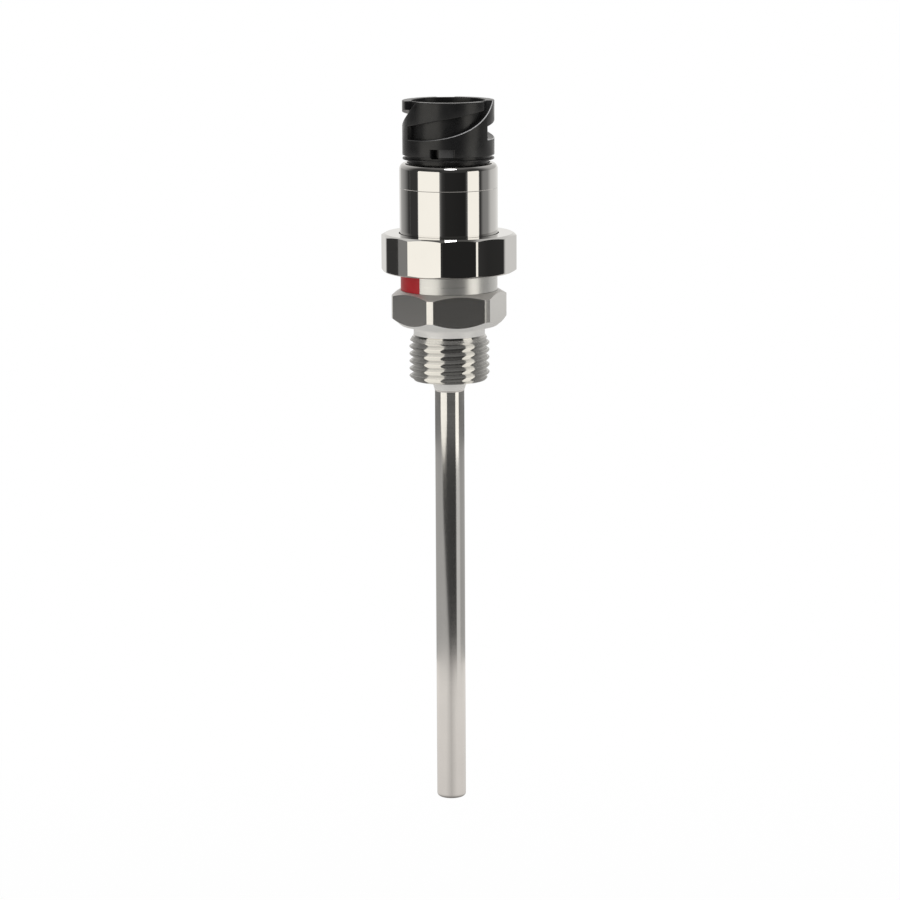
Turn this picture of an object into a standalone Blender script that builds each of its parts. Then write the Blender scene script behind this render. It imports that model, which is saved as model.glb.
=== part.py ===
"""Immersion temperature sensor with a four-pin bayonet receptacle and a G 1/2 A process thread.

Metres, +Z up. The origin lies on the sensor's axis in the plane of the sealing face under the hexagon,
the face that insertion lengths are measured from. The front of the receptacle looks along -Y.
"""

import math

import bmesh
import bpy
from mathutils import Matrix, Vector

# Fits
GAP = 0.0003                         # between pieces that seat on each other
RUNNING_GAP = 0.0003                 # radial, between the union nut and what it turns on
INSERT_CLEARANCE = 0.0003            # radial, between the insert and the protection tube
ELEMENT_CLEARANCE = 0.00085          # radial, between the sensing element and the insert tube
LEAD_CLEARANCE = 0.00028             # radial, between a lead and its bore
FERRULE_CLEARANCE = 0.0010           # radial, between the insert's ferrule and the body's cavity

# Receptacle: the shell's outside leads, and its other radii step in from it
SHELL_DIAMETER = 0.0238
SHELL_CUP_HEIGHT = 0.01395           # from the rim to the groove
SHELL_LIP_CHAMFER = 0.0004
SOCKET_WALL = 0.00065                # between a bayonet track's floor and the socket
SOCKET_DEPTH = 0.0115
SOCKET_FLOOR_THICKNESS = 0.0030
GROOVE_DEPTH = 0.0008
GROOVE_WIDTH = 0.00075
COLLAR_STEP = 0.00005                # in from the shell's outside
COLLAR_THICKNESS = 0.0004
NECK_STEP = 0.0014                   # in from the shell's outside
NECK_HEIGHT = 0.0009                 # seen between the collar and the sleeve
CRIMP_FLANGE_WIDTH = 0.00093         # radial, out from the neck
CRIMP_FLANGE_THICKNESS = 0.0023
SHELL_SPIGOT_LENGTH = 0.0068
SHELL_SPIGOT_WALL = 0.0013
KEY_WIDTH = 0.0018
KEY_DEPTH = 0.0010
KEY_RECESS = 0.0020                  # from the rim down to the key rib's top
KEY_ANGLE = 180.0                    # degrees from the front

# Bayonet tracks in the receptacle, one every third of a turn
TRACK_COUNT = 3
TRACK_DEPTH = 0.00175                # radial
TRACK_START_ANGLE = 76.0             # at the mouth, degrees from the front, + to the right
TRACK_MOUTH_ANGLE = 25.0             # width of the mouth
TRACK_SWEEP_ANGLE = 138.0            # from the mouth's side to the locked end
TRACK_LEVELLING = 2.8                # power by which the ledge falls steeply first and then levels out
TRACK_END_DEPTH = 0.0097             # from the rim down to the ledge at the locked end
TRACK_END_HEIGHT = 0.0033            # clear height at the locked end
TONGUE_TIP_DEPTH = 0.0022            # from the rim down to the tongue's underside at its tip
TONGUE_SIDE_ANGLE = 1.0              # draft on the tongue's side at the mouth
MOUTH_STEPS = 6
TRACK_STEPS = 24

# Latch window low on the receptacle's front
WINDOW_LEFT_ANGLE = -23.0
WINDOW_RIGHT_ANGLE = 7.0
WINDOW_TAB_ANGLE = -13.0             # left side of the tab that fills the rest of the window
WINDOW_TAB_DRAFT_ANGLE = 1.0
WINDOW_HEIGHT = 0.00215              # above the cup's lower edge
WINDOW_PIT_DEPTH = 0.0032            # radial
WINDOW_TAB_STEP = 0.0007             # in from the shell's outside

# Contacts
PIN_COUNT = 4
PIN_INSET = 0.0047                   # from the socket's wall to a pin's centre
PIN_FIRST_ANGLE = 45.0
PIN_DIAMETER = 0.0024
PIN_TIP_RADIUS = 0.0008
PIN_RECESS = 0.0023                  # from the rim down to the pin's tip
PIN_COLLAR_WIDTH = 0.0005            # radial
PIN_COLLAR_THICKNESS = 0.0020
PIN_TAIL_DIAMETER = 0.0014
PIN_TAIL_STICK_OUT = 0.0017          # below the potting
CARRIER_THICKNESS = 0.0030
POTTING_THICKNESS = 0.0032

# Seal and crimp sleeve that hold the receptacle
SEAL_WIDTH = 0.00163
SEAL_THICKNESS = 0.0015
SEAL_EDGE_RADIUS = 0.00045
SLEEVE_LENGTH = 0.0228
SLEEVE_WALL = 0.0010
SLEEVE_SHOULDER_RADIUS = 0.0017
SLEEVE_PLATE_THICKNESS = 0.0012
SLEEVE_FLANGE_WIDTH = 0.00147        # radial, the rim that the union nut pulls on
CRIMP_LIP_THICKNESS = 0.0009

# Twelve-sided union nut and its slip ring
NUT_SIDES = 12
NUT_CORNER_ANGLE = -6.0              # degrees from the front, + to the right
NUT_WALL = 0.00255                   # from the threaded bore to the flats
NUT_SHOULDER_THICKNESS = 0.0020
NUT_CHAMFER = 0.0011
NUT_CHAMFER_HEIGHT = 0.0006
SLIP_RING_THICKNESS = 0.0007

# Threaded spigot for the union nut, gasket, and label neck below
SPIGOT_LENGTH = 0.0038
GASKET_THICKNESS = 0.0008
GASKET_WIDTH = 0.0044
LABEL_NECK_LENGTH = 0.0048
LABEL_STEP = 0.0016                  # in from the spigot's outside
LABEL_THICKNESS = 0.00025
LABEL_SEAM_ANGLE = 5.0               # degrees left open at the back, where the strip's ends meet

# Process end: hexagon, relief and thread, turned from one bar
HEX_SIDES = 6
HEX_ACROSS_FLATS = 0.0270
HEX_CORNER_ANGLE = -19.3             # degrees from the front, + to the right
HEX_CORNER_HEIGHT = 0.0016           # of the turned corners over the flats
HEX_HEIGHT = 0.0092
HEX_TOP_FACE_STEP = 0.00065          # in from the flats
HEX_TOP_CHAMFER_HEIGHT = 0.0013
SEALING_FACE_STEP = 0.0009           # in from the flats
HEX_BOTTOM_CHAMFER_HEIGHT = 0.0020
THREAD_DIAMETER = 0.020955           # G 1/2, major diameter
THREAD_LENGTH = 0.0112               # from the relief's end to the end face
THREAD_END_CHAMFER = 0.0010
RELIEF_DEPTH = 0.00118               # radial
RELIEF_LENGTH = 0.0033               # with its 45 degree run-out
TUBE_SEAT_LENGTH = 0.0090            # of the bore that holds the tube, from the thread's end
TUBE_SEAT_SHOULDER = 0.00075         # radial
CAVITY_STEP = 0.0021                 # radial, with a 45 degree floor
CAVITY_FLOOR = 0.0040                # above the sealing face

# Protection tube
TUBE_DIAMETER = 0.0077
TUBE_WALL = 0.00075
TUBE_END_THICKNESS = 0.0022
TUBE_FLOOR_CORNER_RADIUS = 0.0004
TUBE_TIP_RADIUS = 0.0008
INSERTION_LENGTH = 0.1281            # from the sealing face to the tip
WELD_BEAD_HEIGHT = 0.0005            # over the tube
WELD_BEAD_LENGTH = 0.0028
WELD_BEAD_TOE_RADIUS = 0.0014

# Measuring insert inside the tube
INSERT_WALL = 0.00045
INSERT_END_THICKNESS = 0.0008
INSERT_EDGE_RADIUS = 0.0004
INSERT_STICK_OUT = 0.0025            # above the sleeve's plate
FERRULE_LENGTH = 0.0055
FERRULE_TAPER_LENGTH = 0.00275
ELEMENT_LENGTH = 0.0150
ELEMENT_EDGE_RADIUS = 0.0004
INSULATOR_BORE_INSET = 0.0010        # from the insulator's outside to a bore's centre
END_SEAL_LENGTH = 0.0040
LEAD_DIAMETER = 0.00044
LEAD_STUB = 0.0006                   # bare between the element and the insulator
LEAD_STEPS = 8                       # points along the stretch where a lead fans out

# Fineness
ROUND_STEPS = 48
MEDIUM_STEPS = 24
SMALL_STEPS = 16
CORNER_STEPS = 4
SMOOTH_ANGLE = 30.0
OVERCUT = 0.0010                     # how far a hole's cutter reaches past the faces it opens
OUTSIDE = 0.0100                     # how far other cutters reach past what they cut
WELD_DISTANCE = 1e-7                 # points closer than this become one

# Heights along the axis, from the sealing face up
HEX_TOP = HEX_HEIGHT
NUT_BOTTOM = HEX_TOP + LABEL_NECK_LENGTH
SPIGOT_BOTTOM = NUT_BOTTOM + GAP
SPIGOT_TOP = SPIGOT_BOTTOM + SPIGOT_LENGTH
GASKET_BOTTOM = SPIGOT_TOP + GAP
GASKET_TOP = GASKET_BOTTOM + GASKET_THICKNESS
PLATE_BOTTOM = GASKET_TOP + GAP
PLATE_TOP = PLATE_BOTTOM + SLEEVE_PLATE_THICKNESS
SLIP_RING_BOTTOM = PLATE_TOP + GAP
SLIP_RING_TOP = SLIP_RING_BOTTOM + SLIP_RING_THICKNESS
NUT_SHOULDER = SLIP_RING_TOP + GAP
NUT_TOP = NUT_SHOULDER + NUT_SHOULDER_THICKNESS
SLEEVE_TOP = PLATE_BOTTOM + SLEEVE_LENGTH
COLLAR_BOTTOM = SLEEVE_TOP + NECK_HEIGHT
COLLAR_TOP = COLLAR_BOTTOM + COLLAR_THICKNESS
CUP_BOTTOM = COLLAR_TOP + GROOVE_WIDTH
RIM = CUP_BOTTOM + SHELL_CUP_HEIGHT
SOCKET_FLOOR = RIM - SOCKET_DEPTH
FLOOR_UNDERSIDE = SOCKET_FLOOR - SOCKET_FLOOR_THICKNESS
CRIMP_TOP = SLEEVE_TOP - CRIMP_LIP_THICKNESS - GAP
CRIMP_BOTTOM = CRIMP_TOP - CRIMP_FLANGE_THICKNESS
SEAL_TOP = CRIMP_BOTTOM - GAP
SEAL_BOTTOM = SEAL_TOP - SEAL_THICKNESS
SHELL_BOTTOM = CRIMP_BOTTOM - SHELL_SPIGOT_LENGTH
PIN_COLLAR_TOP = FLOOR_UNDERSIDE - GAP
PIN_COLLAR_BOTTOM = PIN_COLLAR_TOP - PIN_COLLAR_THICKNESS
CARRIER_TOP = PIN_COLLAR_BOTTOM - GAP
CARRIER_BOTTOM = CARRIER_TOP - CARRIER_THICKNESS
POTTING_TOP = CARRIER_BOTTOM - GAP
POTTING_BOTTOM = POTTING_TOP - POTTING_THICKNESS
PIN_TAIL_END = POTTING_BOTTOM - PIN_TAIL_STICK_OUT

# Heights below the sealing face
THREAD_START = -RELIEF_LENGTH
THREAD_END = THREAD_START - THREAD_LENGTH
TUBE_TOP = THREAD_END + TUBE_SEAT_LENGTH
TIP = -INSERTION_LENGTH
TUBE_FLOOR = TIP + TUBE_END_THICKNESS
INSERT_BOTTOM = TUBE_FLOOR + GAP
INSERT_FLOOR = INSERT_BOTTOM + INSERT_END_THICKNESS
INSERT_TOP = PLATE_TOP + INSERT_STICK_OUT
ELEMENT_BOTTOM = INSERT_FLOOR + GAP
ELEMENT_TOP = ELEMENT_BOTTOM + ELEMENT_LENGTH
LEAD_START = ELEMENT_TOP + GAP
END_SEAL_TOP = INSERT_TOP - GAP
END_SEAL_BOTTOM = END_SEAL_TOP - END_SEAL_LENGTH
INSULATOR_TOP = END_SEAL_BOTTOM - GAP
INSULATOR_BOTTOM = LEAD_START + LEAD_STUB
LEAD_END = PIN_TAIL_END - GAP

# Radii of the receptacle, inward from its outside
SHELL_RADIUS = SHELL_DIAMETER / 2
TRACK_FLOOR_RADIUS = SHELL_RADIUS - TRACK_DEPTH
SOCKET_RADIUS = TRACK_FLOOR_RADIUS - SOCKET_WALL
GROOVE_RADIUS = SHELL_RADIUS - GROOVE_DEPTH
COLLAR_RADIUS = SHELL_RADIUS - COLLAR_STEP
NECK_RADIUS = SHELL_RADIUS - NECK_STEP
CRIMP_RADIUS = NECK_RADIUS + CRIMP_FLANGE_WIDTH
PIN_RADIUS = PIN_DIAMETER / 2
PIN_CIRCLE_RADIUS = SOCKET_RADIUS - PIN_INSET

# Radii from the crimp out to the nut, and back in to the label neck
SLEEVE_BORE_RADIUS = CRIMP_RADIUS + GAP
SLEEVE_RADIUS = SLEEVE_BORE_RADIUS + SLEEVE_WALL
LIP_BORE_RADIUS = NECK_RADIUS + GAP
SEAL_OUTER_RADIUS = SLEEVE_BORE_RADIUS - GAP
SEAL_INNER_RADIUS = SEAL_OUTER_RADIUS - SEAL_WIDTH
SHELL_SPIGOT_RADIUS = SEAL_INNER_RADIUS - GAP
SHELL_CAVITY_RADIUS = SHELL_SPIGOT_RADIUS - SHELL_SPIGOT_WALL
SLIDE_RADIUS = SLEEVE_RADIUS + RUNNING_GAP
SPIGOT_RADIUS = SLEEVE_RADIUS + SLEEVE_FLANGE_WIDTH
NUT_BORE_RADIUS = SPIGOT_RADIUS + RUNNING_GAP
NUT_FLAT_RADIUS = NUT_BORE_RADIUS + NUT_WALL
NUT_CORNER_RADIUS = NUT_FLAT_RADIUS / math.cos(math.pi / NUT_SIDES)
LABEL_RADIUS = SPIGOT_RADIUS - LABEL_STEP
LABEL_NECK_RADIUS = LABEL_RADIUS - LABEL_THICKNESS - GAP

# Radii of the process end, the tube and the insert
HEX_FLAT_RADIUS = HEX_ACROSS_FLATS / 2
THREAD_RADIUS = THREAD_DIAMETER / 2
RELIEF_RADIUS = THREAD_RADIUS - RELIEF_DEPTH
TUBE_RADIUS = TUBE_DIAMETER / 2
TUBE_BORE_RADIUS = TUBE_RADIUS - TUBE_WALL
TUBE_SEAT_RADIUS = TUBE_RADIUS + GAP
MIDDLE_BORE_RADIUS = TUBE_SEAT_RADIUS + TUBE_SEAT_SHOULDER
CAVITY_RADIUS = MIDDLE_BORE_RADIUS + CAVITY_STEP
INSERT_RADIUS = TUBE_BORE_RADIUS - INSERT_CLEARANCE
INSERT_BORE_RADIUS = INSERT_RADIUS - INSERT_WALL
INSERT_HOLE_RADIUS = INSERT_RADIUS + GAP
ELEMENT_RADIUS = INSERT_BORE_RADIUS - ELEMENT_CLEARANCE
INSULATOR_RADIUS = INSERT_BORE_RADIUS - GAP
LEAD_CIRCLE_RADIUS = INSULATOR_RADIUS - INSULATOR_BORE_INSET


def clear_scene():
    for leftover in list(bpy.data.objects):
        bpy.data.objects.remove(leftover, do_unlink=True)


def plain_material(name, color, roughness, metallic):
    material = bpy.data.materials.new(name)
    material.use_nodes = True
    shader = material.node_tree.nodes["Principled BSDF"]
    shader.inputs["Base Color"].default_value = (*color, 1.0)
    shader.inputs["Roughness"].default_value = roughness
    shader.inputs["Metallic"].default_value = metallic
    material.diffuse_color = (*color, 1.0)
    return material


def direction(degrees):
    """Unit vector at an angle from the front (-Y), counted to the right (+X)."""
    angle = math.radians(degrees)
    return Vector((math.sin(angle), -math.cos(angle), 0.0))


def rounded(corners):
    """Outline points from corners (radius, height) or, with an arc, (radius, height, arc radius)."""
    points = []
    for index, corner in enumerate(corners):
        here = Vector(corner[:2])
        if len(corner) == 2:
            points.append(here)
            continue
        arc_radius = corner[2]
        before = (Vector(corners[index - 1][:2]) - here).normalized()
        after = (Vector(corners[(index + 1) % len(corners)][:2]) - here).normalized()
        half = before.angle(after) / 2
        centre = here + (before + after).normalized() * (arc_radius / math.sin(half))
        start = (here + before * (arc_radius / math.tan(half)) - centre).normalized()
        end = (here + after * (arc_radius / math.tan(half)) - centre).normalized()
        for step in range(CORNER_STEPS + 1):
            points.append(centre + start.slerp(end, step / CORNER_STEPS) * arc_radius)
    return points


def object_from(name, mesh_tool, material):
    """Makes the object, with its normals outward and its flat faces kept sharp."""
    bmesh.ops.recalc_face_normals(mesh_tool, faces=mesh_tool.faces)
    mesh = bpy.data.meshes.new(name)
    mesh_tool.to_mesh(mesh)
    mesh_tool.free()
    piece = bpy.data.objects.new(name, mesh)
    bpy.context.scene.collection.objects.link(piece)
    if material:
        mesh.materials.append(material)
        shade(piece)
    return piece


def shade(piece):
    piece.data.shade_smooth()
    piece.data.set_sharp_from_angle(angle=math.radians(SMOOTH_ANGLE))


def turned(name, corners, material=None, steps=ROUND_STEPS, centre=(0.0, 0.0)):
    """A turned piece: the closed outline of (radius, height) corners, spun about a vertical axis."""
    mesh_tool = bmesh.new()
    points = rounded(corners)
    ring = [mesh_tool.verts.new((radius, 0.0, height)) for radius, height in points]
    edges = []
    for first, second in zip(ring, ring[1:] + ring[:1]):
        if first.co.x > 0 or second.co.x > 0:
            edges.append(mesh_tool.edges.new((first, second)))
    bmesh.ops.spin(
        mesh_tool, geom=ring + edges, cent=(0, 0, 0), axis=(0, 0, 1), angle=2 * math.pi,
        steps=steps, use_merge=True,
    )
    bmesh.ops.remove_doubles(mesh_tool, verts=mesh_tool.verts, dist=WELD_DISTANCE)
    bmesh.ops.translate(mesh_tool, verts=mesh_tool.verts, vec=(*centre, 0.0))
    return object_from(name, mesh_tool, material)


def ring_outline(inner, outer, bottom, top):
    return [(inner, top), (outer, top), (outer, bottom), (inner, bottom)]


def rod_outline(radius, bottom, top):
    return [(0.0, top), (radius, top), (radius, bottom), (0.0, bottom)]


def combined(piece, tool, operation):
    """Applies a Boolean of the tool to the piece, then takes the tool away."""
    modifier = piece.modifiers.new(tool.name, "BOOLEAN")
    modifier.object = tool
    modifier.operation = operation
    graph = bpy.context.evaluated_depsgraph_get()
    result = bpy.data.meshes.new_from_object(piece.evaluated_get(graph), depsgraph=graph)
    piece.modifiers.clear()
    piece.data = result
    result.name = piece.name
    bpy.data.objects.remove(tool, do_unlink=True)
    shade(piece)


def contact_places(circle_radius):
    """Centres on a circle of what belongs to each contact."""
    places = []
    for index in range(PIN_COUNT):
        spot = direction(PIN_FIRST_ANGLE + index * 360.0 / PIN_COUNT) * circle_radius
        places.append((spot.x, spot.y))
    return places


def drill(piece, radius, places, bottom, top):
    """Cuts one round hole through the piece at each place."""
    for place in places:
        cutter = turned("hole", rod_outline(radius, bottom, top), steps=SMALL_STEPS, centre=place)
        combined(piece, cutter, "DIFFERENCE")


def cut_flats(piece, sides, flat_radius, corner_angle, bottom, top):
    """Cuts the flats of a regular prism: takes away what lies outside it between two heights."""
    corner_radius = flat_radius / math.cos(math.pi / sides)
    cutter = turned(
        "flats", ring_outline(corner_radius, corner_radius + OUTSIDE, bottom, top), steps=sides
    )
    cutter.data.transform(Matrix.Rotation(math.radians(corner_angle - 90.0), 4, "Z"))
    combined(piece, cutter, "DIFFERENCE")


def strip(name, stations, material=None):
    """A closed band round the axis. A station is (degrees, inner radius, outer radius, bottom, top)."""
    mesh_tool = bmesh.new()
    sections = []
    for degrees, inner, outer, bottom, top in stations:
        out = direction(degrees)
        corners = [(inner, bottom), (outer, bottom), (outer, top), (inner, top)]
        sections.append(
            [mesh_tool.verts.new(out * radius + Vector((0, 0, height))) for radius, height in corners]
        )
    for first, second in zip(sections, sections[1:]):
        for index in range(4):
            following = (index + 1) % 4
            mesh_tool.faces.new((first[index], first[following], second[following], second[index]))
    mesh_tool.faces.new(sections[0])
    mesh_tool.faces.new(sections[-1])
    return object_from(name, mesh_tool, material)


def even_angles(first, last, steps):
    return [first + (last - first) * index / steps for index in range(steps + 1)]


def ledge_height(share):
    """Height of a track's lower edge; share runs from 0 at the mouth to 1 at the locked end."""
    return RIM - TRACK_END_DEPTH * (1.0 - (1.0 - share) ** TRACK_LEVELLING)


def tongue_height(share):
    """Height of a track's upper edge, the underside of the tongue above it."""
    mouth = TRACK_MOUTH_ANGLE / TRACK_SWEEP_ANGLE
    along = (share - mouth) / (1.0 - mouth)
    return RIM - TONGUE_TIP_DEPTH - (TRACK_END_DEPTH - TRACK_END_HEIGHT - TONGUE_TIP_DEPTH) * along


def track_cutter(turn):
    """Cutter of one bayonet track: open at the rim over its mouth, then under the tongue."""
    outer = SHELL_RADIUS + OUTSIDE
    start = TRACK_START_ANGLE + turn
    mouth = start - TRACK_MOUTH_ANGLE
    end = start - TRACK_SWEEP_ANGLE
    stations = []
    for angle in even_angles(start, mouth, MOUTH_STEPS):
        share = (start - angle) / TRACK_SWEEP_ANGLE
        stations.append((angle, TRACK_FLOOR_RADIUS, outer, ledge_height(share), RIM + OUTSIDE))
    for angle in even_angles(mouth - TONGUE_SIDE_ANGLE, end, TRACK_STEPS):
        share = (start - angle) / TRACK_SWEEP_ANGLE
        stations.append((angle, TRACK_FLOOR_RADIUS, outer, ledge_height(share), tongue_height(share)))
    return strip("track", stations)


def make_connector_shell(material):
    lip = SHELL_LIP_CHAMFER
    shell = turned("connector_shell", [
        (0.0, SOCKET_FLOOR),
        (SOCKET_RADIUS, SOCKET_FLOOR),
        (SOCKET_RADIUS, RIM - lip),
        (SOCKET_RADIUS + lip, RIM),
        (SHELL_RADIUS - lip, RIM),
        (SHELL_RADIUS, RIM - lip),
        (SHELL_RADIUS, CUP_BOTTOM),
        (GROOVE_RADIUS, CUP_BOTTOM),
        (GROOVE_RADIUS, COLLAR_TOP),
        (COLLAR_RADIUS, COLLAR_TOP),
        (COLLAR_RADIUS, COLLAR_BOTTOM),
        (NECK_RADIUS, COLLAR_BOTTOM),
        (NECK_RADIUS, CRIMP_TOP),
        (CRIMP_RADIUS, CRIMP_TOP),
        (CRIMP_RADIUS, CRIMP_BOTTOM),
        (SHELL_SPIGOT_RADIUS, CRIMP_BOTTOM),
        (SHELL_SPIGOT_RADIUS, SHELL_BOTTOM),
        (SHELL_CAVITY_RADIUS, SHELL_BOTTOM),
        (SHELL_CAVITY_RADIUS, FLOOR_UNDERSIDE),
        (0.0, FLOOR_UNDERSIDE),
    ], material)
    for index in range(TRACK_COUNT):
        combined(shell, track_cutter(index * 360.0 / TRACK_COUNT), "DIFFERENCE")
    combined(shell, window_cutter(), "DIFFERENCE")
    combined(shell, key_rib(), "UNION")
    drill(
        shell, PIN_RADIUS + GAP, contact_places(PIN_CIRCLE_RADIUS),
        FLOOR_UNDERSIDE - OVERCUT, SOCKET_FLOOR + OVERCUT,
    )


def window_cutter():
    """Window over the groove: deep at its left, and shallow over the tab that fills its right."""
    outer = SHELL_RADIUS + OUTSIDE
    pit = SHELL_RADIUS - WINDOW_PIT_DEPTH
    tab = SHELL_RADIUS - WINDOW_TAB_STEP
    heights = (CUP_BOTTOM - GROOVE_WIDTH / 2, CUP_BOTTOM + WINDOW_HEIGHT)
    stations = [
        (WINDOW_LEFT_ANGLE, pit, outer, *heights),
        ((WINDOW_LEFT_ANGLE + WINDOW_TAB_ANGLE) / 2, pit, outer, *heights),
        (WINDOW_TAB_ANGLE, pit, outer, *heights),
        (WINDOW_TAB_ANGLE + WINDOW_TAB_DRAFT_ANGLE, tab, outer, *heights),
        ((WINDOW_TAB_ANGLE + WINDOW_RIGHT_ANGLE) / 2, tab, outer, *heights),
        (WINDOW_RIGHT_ANGLE, tab, outer, *heights),
    ]
    return strip("window", stations)


def key_rib():
    """Rib along the socket's wall that lets the plug in one way round only."""
    half = math.degrees(KEY_WIDTH / 2 / SOCKET_RADIUS)
    inner = SOCKET_RADIUS - KEY_DEPTH
    outer = SOCKET_RADIUS + SOCKET_WALL / 2
    heights = (SOCKET_FLOOR - SOCKET_FLOOR_THICKNESS / 2, RIM - KEY_RECESS)
    return strip("key", [(KEY_ANGLE + side * half, inner, outer, *heights) for side in (-1, 1)])


def make_pins(material):
    collar = PIN_RADIUS + PIN_COLLAR_WIDTH
    tail = PIN_TAIL_DIAMETER / 2
    for number, place in enumerate(contact_places(PIN_CIRCLE_RADIUS), start=1):
        turned(f"contact_pin_{number}", [
            (0.0, RIM - PIN_RECESS),
            (PIN_RADIUS, RIM - PIN_RECESS, PIN_TIP_RADIUS),
            (PIN_RADIUS, PIN_COLLAR_TOP),
            (collar, PIN_COLLAR_TOP),
            (collar, PIN_COLLAR_BOTTOM),
            (tail, PIN_COLLAR_BOTTOM),
            (tail, PIN_TAIL_END),
            (0.0, PIN_TAIL_END),
        ], material, steps=SMALL_STEPS, centre=place)


def make_carrier_and_potting(carrier_material, potting_material):
    radius = SHELL_CAVITY_RADIUS - GAP
    carrier = turned(
        "contact_carrier", rod_outline(radius, CARRIER_BOTTOM, CARRIER_TOP), carrier_material, MEDIUM_STEPS
    )
    potting = turned(
        "potting_plug", rod_outline(radius, POTTING_BOTTOM, POTTING_TOP), potting_material, MEDIUM_STEPS
    )
    places = contact_places(PIN_CIRCLE_RADIUS)
    for disc in (carrier, potting):
        drill(disc, PIN_TAIL_DIAMETER / 2 + GAP, places, POTTING_BOTTOM - OVERCUT, CARRIER_TOP + OVERCUT)


def make_connector_seal(material):
    corners = ring_outline(SEAL_INNER_RADIUS, SEAL_OUTER_RADIUS, SEAL_BOTTOM, SEAL_TOP)
    corners = [(radius, height, SEAL_EDGE_RADIUS) for radius, height in corners]
    turned("connector_seal", corners, material, MEDIUM_STEPS)


def make_crimp_sleeve(material):
    """Drawn sleeve: its top is turned in over the receptacle, its plate carries the insert."""
    turned("crimp_sleeve", [
        (LIP_BORE_RADIUS, SLEEVE_TOP),
        (SLEEVE_RADIUS, SLEEVE_TOP, SLEEVE_SHOULDER_RADIUS),
        (SLEEVE_RADIUS, PLATE_TOP),
        (SPIGOT_RADIUS, PLATE_TOP),
        (SPIGOT_RADIUS, PLATE_BOTTOM),
        (INSERT_HOLE_RADIUS, PLATE_BOTTOM),
        (INSERT_HOLE_RADIUS, PLATE_TOP),
        (SLEEVE_BORE_RADIUS, PLATE_TOP),
        (SLEEVE_BORE_RADIUS, SLEEVE_TOP - CRIMP_LIP_THICKNESS),
        (LIP_BORE_RADIUS, SLEEVE_TOP - CRIMP_LIP_THICKNESS),
    ], material)


def make_support_sleeve(material):
    """Spacer between the sleeve's plate and the seal."""
    corners = ring_outline(SEAL_INNER_RADIUS, SEAL_OUTER_RADIUS, PLATE_TOP + GAP, SEAL_BOTTOM - GAP)
    turned("support_sleeve", corners, material, MEDIUM_STEPS)


def make_union_nut(material):
    """Twelve-sided nut; its shoulder presses the slip ring and the sleeve's flange on the spigot."""
    blank = NUT_CORNER_RADIUS + GAP
    face = NUT_CORNER_RADIUS - NUT_CHAMFER
    rise = NUT_CHAMFER_HEIGHT * (blank - face) / NUT_CHAMFER
    nut = turned("union_nut", [
        (SLIDE_RADIUS, NUT_TOP),
        (face, NUT_TOP),
        (blank, NUT_TOP - rise),
        (blank, NUT_BOTTOM + rise),
        (face, NUT_BOTTOM),
        (NUT_BORE_RADIUS, NUT_BOTTOM),
        (NUT_BORE_RADIUS, NUT_SHOULDER),
        (SLIDE_RADIUS, NUT_SHOULDER),
    ], material)
    cut_flats(nut, NUT_SIDES, NUT_FLAT_RADIUS, NUT_CORNER_ANGLE, NUT_BOTTOM - GAP, NUT_TOP + GAP)


def make_slip_ring(material):
    outer = NUT_BORE_RADIUS - GAP
    corners = ring_outline(SLIDE_RADIUS, outer, SLIP_RING_BOTTOM, SLIP_RING_TOP)
    turned("nut_slip_ring", corners, material, MEDIUM_STEPS)


def make_gasket(material):
    outer = SPIGOT_RADIUS - GAP
    corners = ring_outline(outer - GASKET_WIDTH, outer, GASKET_BOTTOM, GASKET_TOP)
    turned("insert_gasket", corners, material, MEDIUM_STEPS)


def make_hex_body(material):
    """Hexagon, process thread and nut spigot, turned from one bar and bored through."""
    corner = HEX_FLAT_RADIUS + HEX_CORNER_HEIGHT
    body = turned("hex_body", [
        (CAVITY_RADIUS, SPIGOT_TOP),
        (SPIGOT_RADIUS, SPIGOT_TOP),
        (SPIGOT_RADIUS, SPIGOT_BOTTOM),
        (LABEL_NECK_RADIUS, SPIGOT_BOTTOM),
        (LABEL_NECK_RADIUS, HEX_TOP),
        (HEX_FLAT_RADIUS - HEX_TOP_FACE_STEP, HEX_TOP),
        (corner, HEX_TOP - HEX_TOP_CHAMFER_HEIGHT),
        (corner, HEX_BOTTOM_CHAMFER_HEIGHT),
        (HEX_FLAT_RADIUS - SEALING_FACE_STEP, 0.0),
        (RELIEF_RADIUS, 0.0),
        (RELIEF_RADIUS, THREAD_START + RELIEF_DEPTH),
        (THREAD_RADIUS, THREAD_START),
        (THREAD_RADIUS, THREAD_END + THREAD_END_CHAMFER),
        (THREAD_RADIUS - THREAD_END_CHAMFER, THREAD_END),
        (TUBE_SEAT_RADIUS, THREAD_END),
        (TUBE_SEAT_RADIUS, TUBE_TOP - GAP),
        (MIDDLE_BORE_RADIUS, TUBE_TOP - GAP),
        (MIDDLE_BORE_RADIUS, CAVITY_FLOOR - CAVITY_STEP),
        (CAVITY_RADIUS, CAVITY_FLOOR),
    ], material)
    cut_flats(body, HEX_SIDES, HEX_FLAT_RADIUS, HEX_CORNER_ANGLE, -GAP, HEX_TOP + GAP)


def make_label_band(material):
    """Thin strip round the neck, its ends a little apart at the back."""
    inner = LABEL_RADIUS - LABEL_THICKNESS
    heights = (HEX_TOP + GAP, NUT_BOTTOM - GAP)
    half = (360.0 - LABEL_SEAM_ANGLE) / 2
    angles = even_angles(-half, half, ROUND_STEPS)
    strip("label_band", [(angle, inner, LABEL_RADIUS, *heights) for angle in angles], material)


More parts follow.
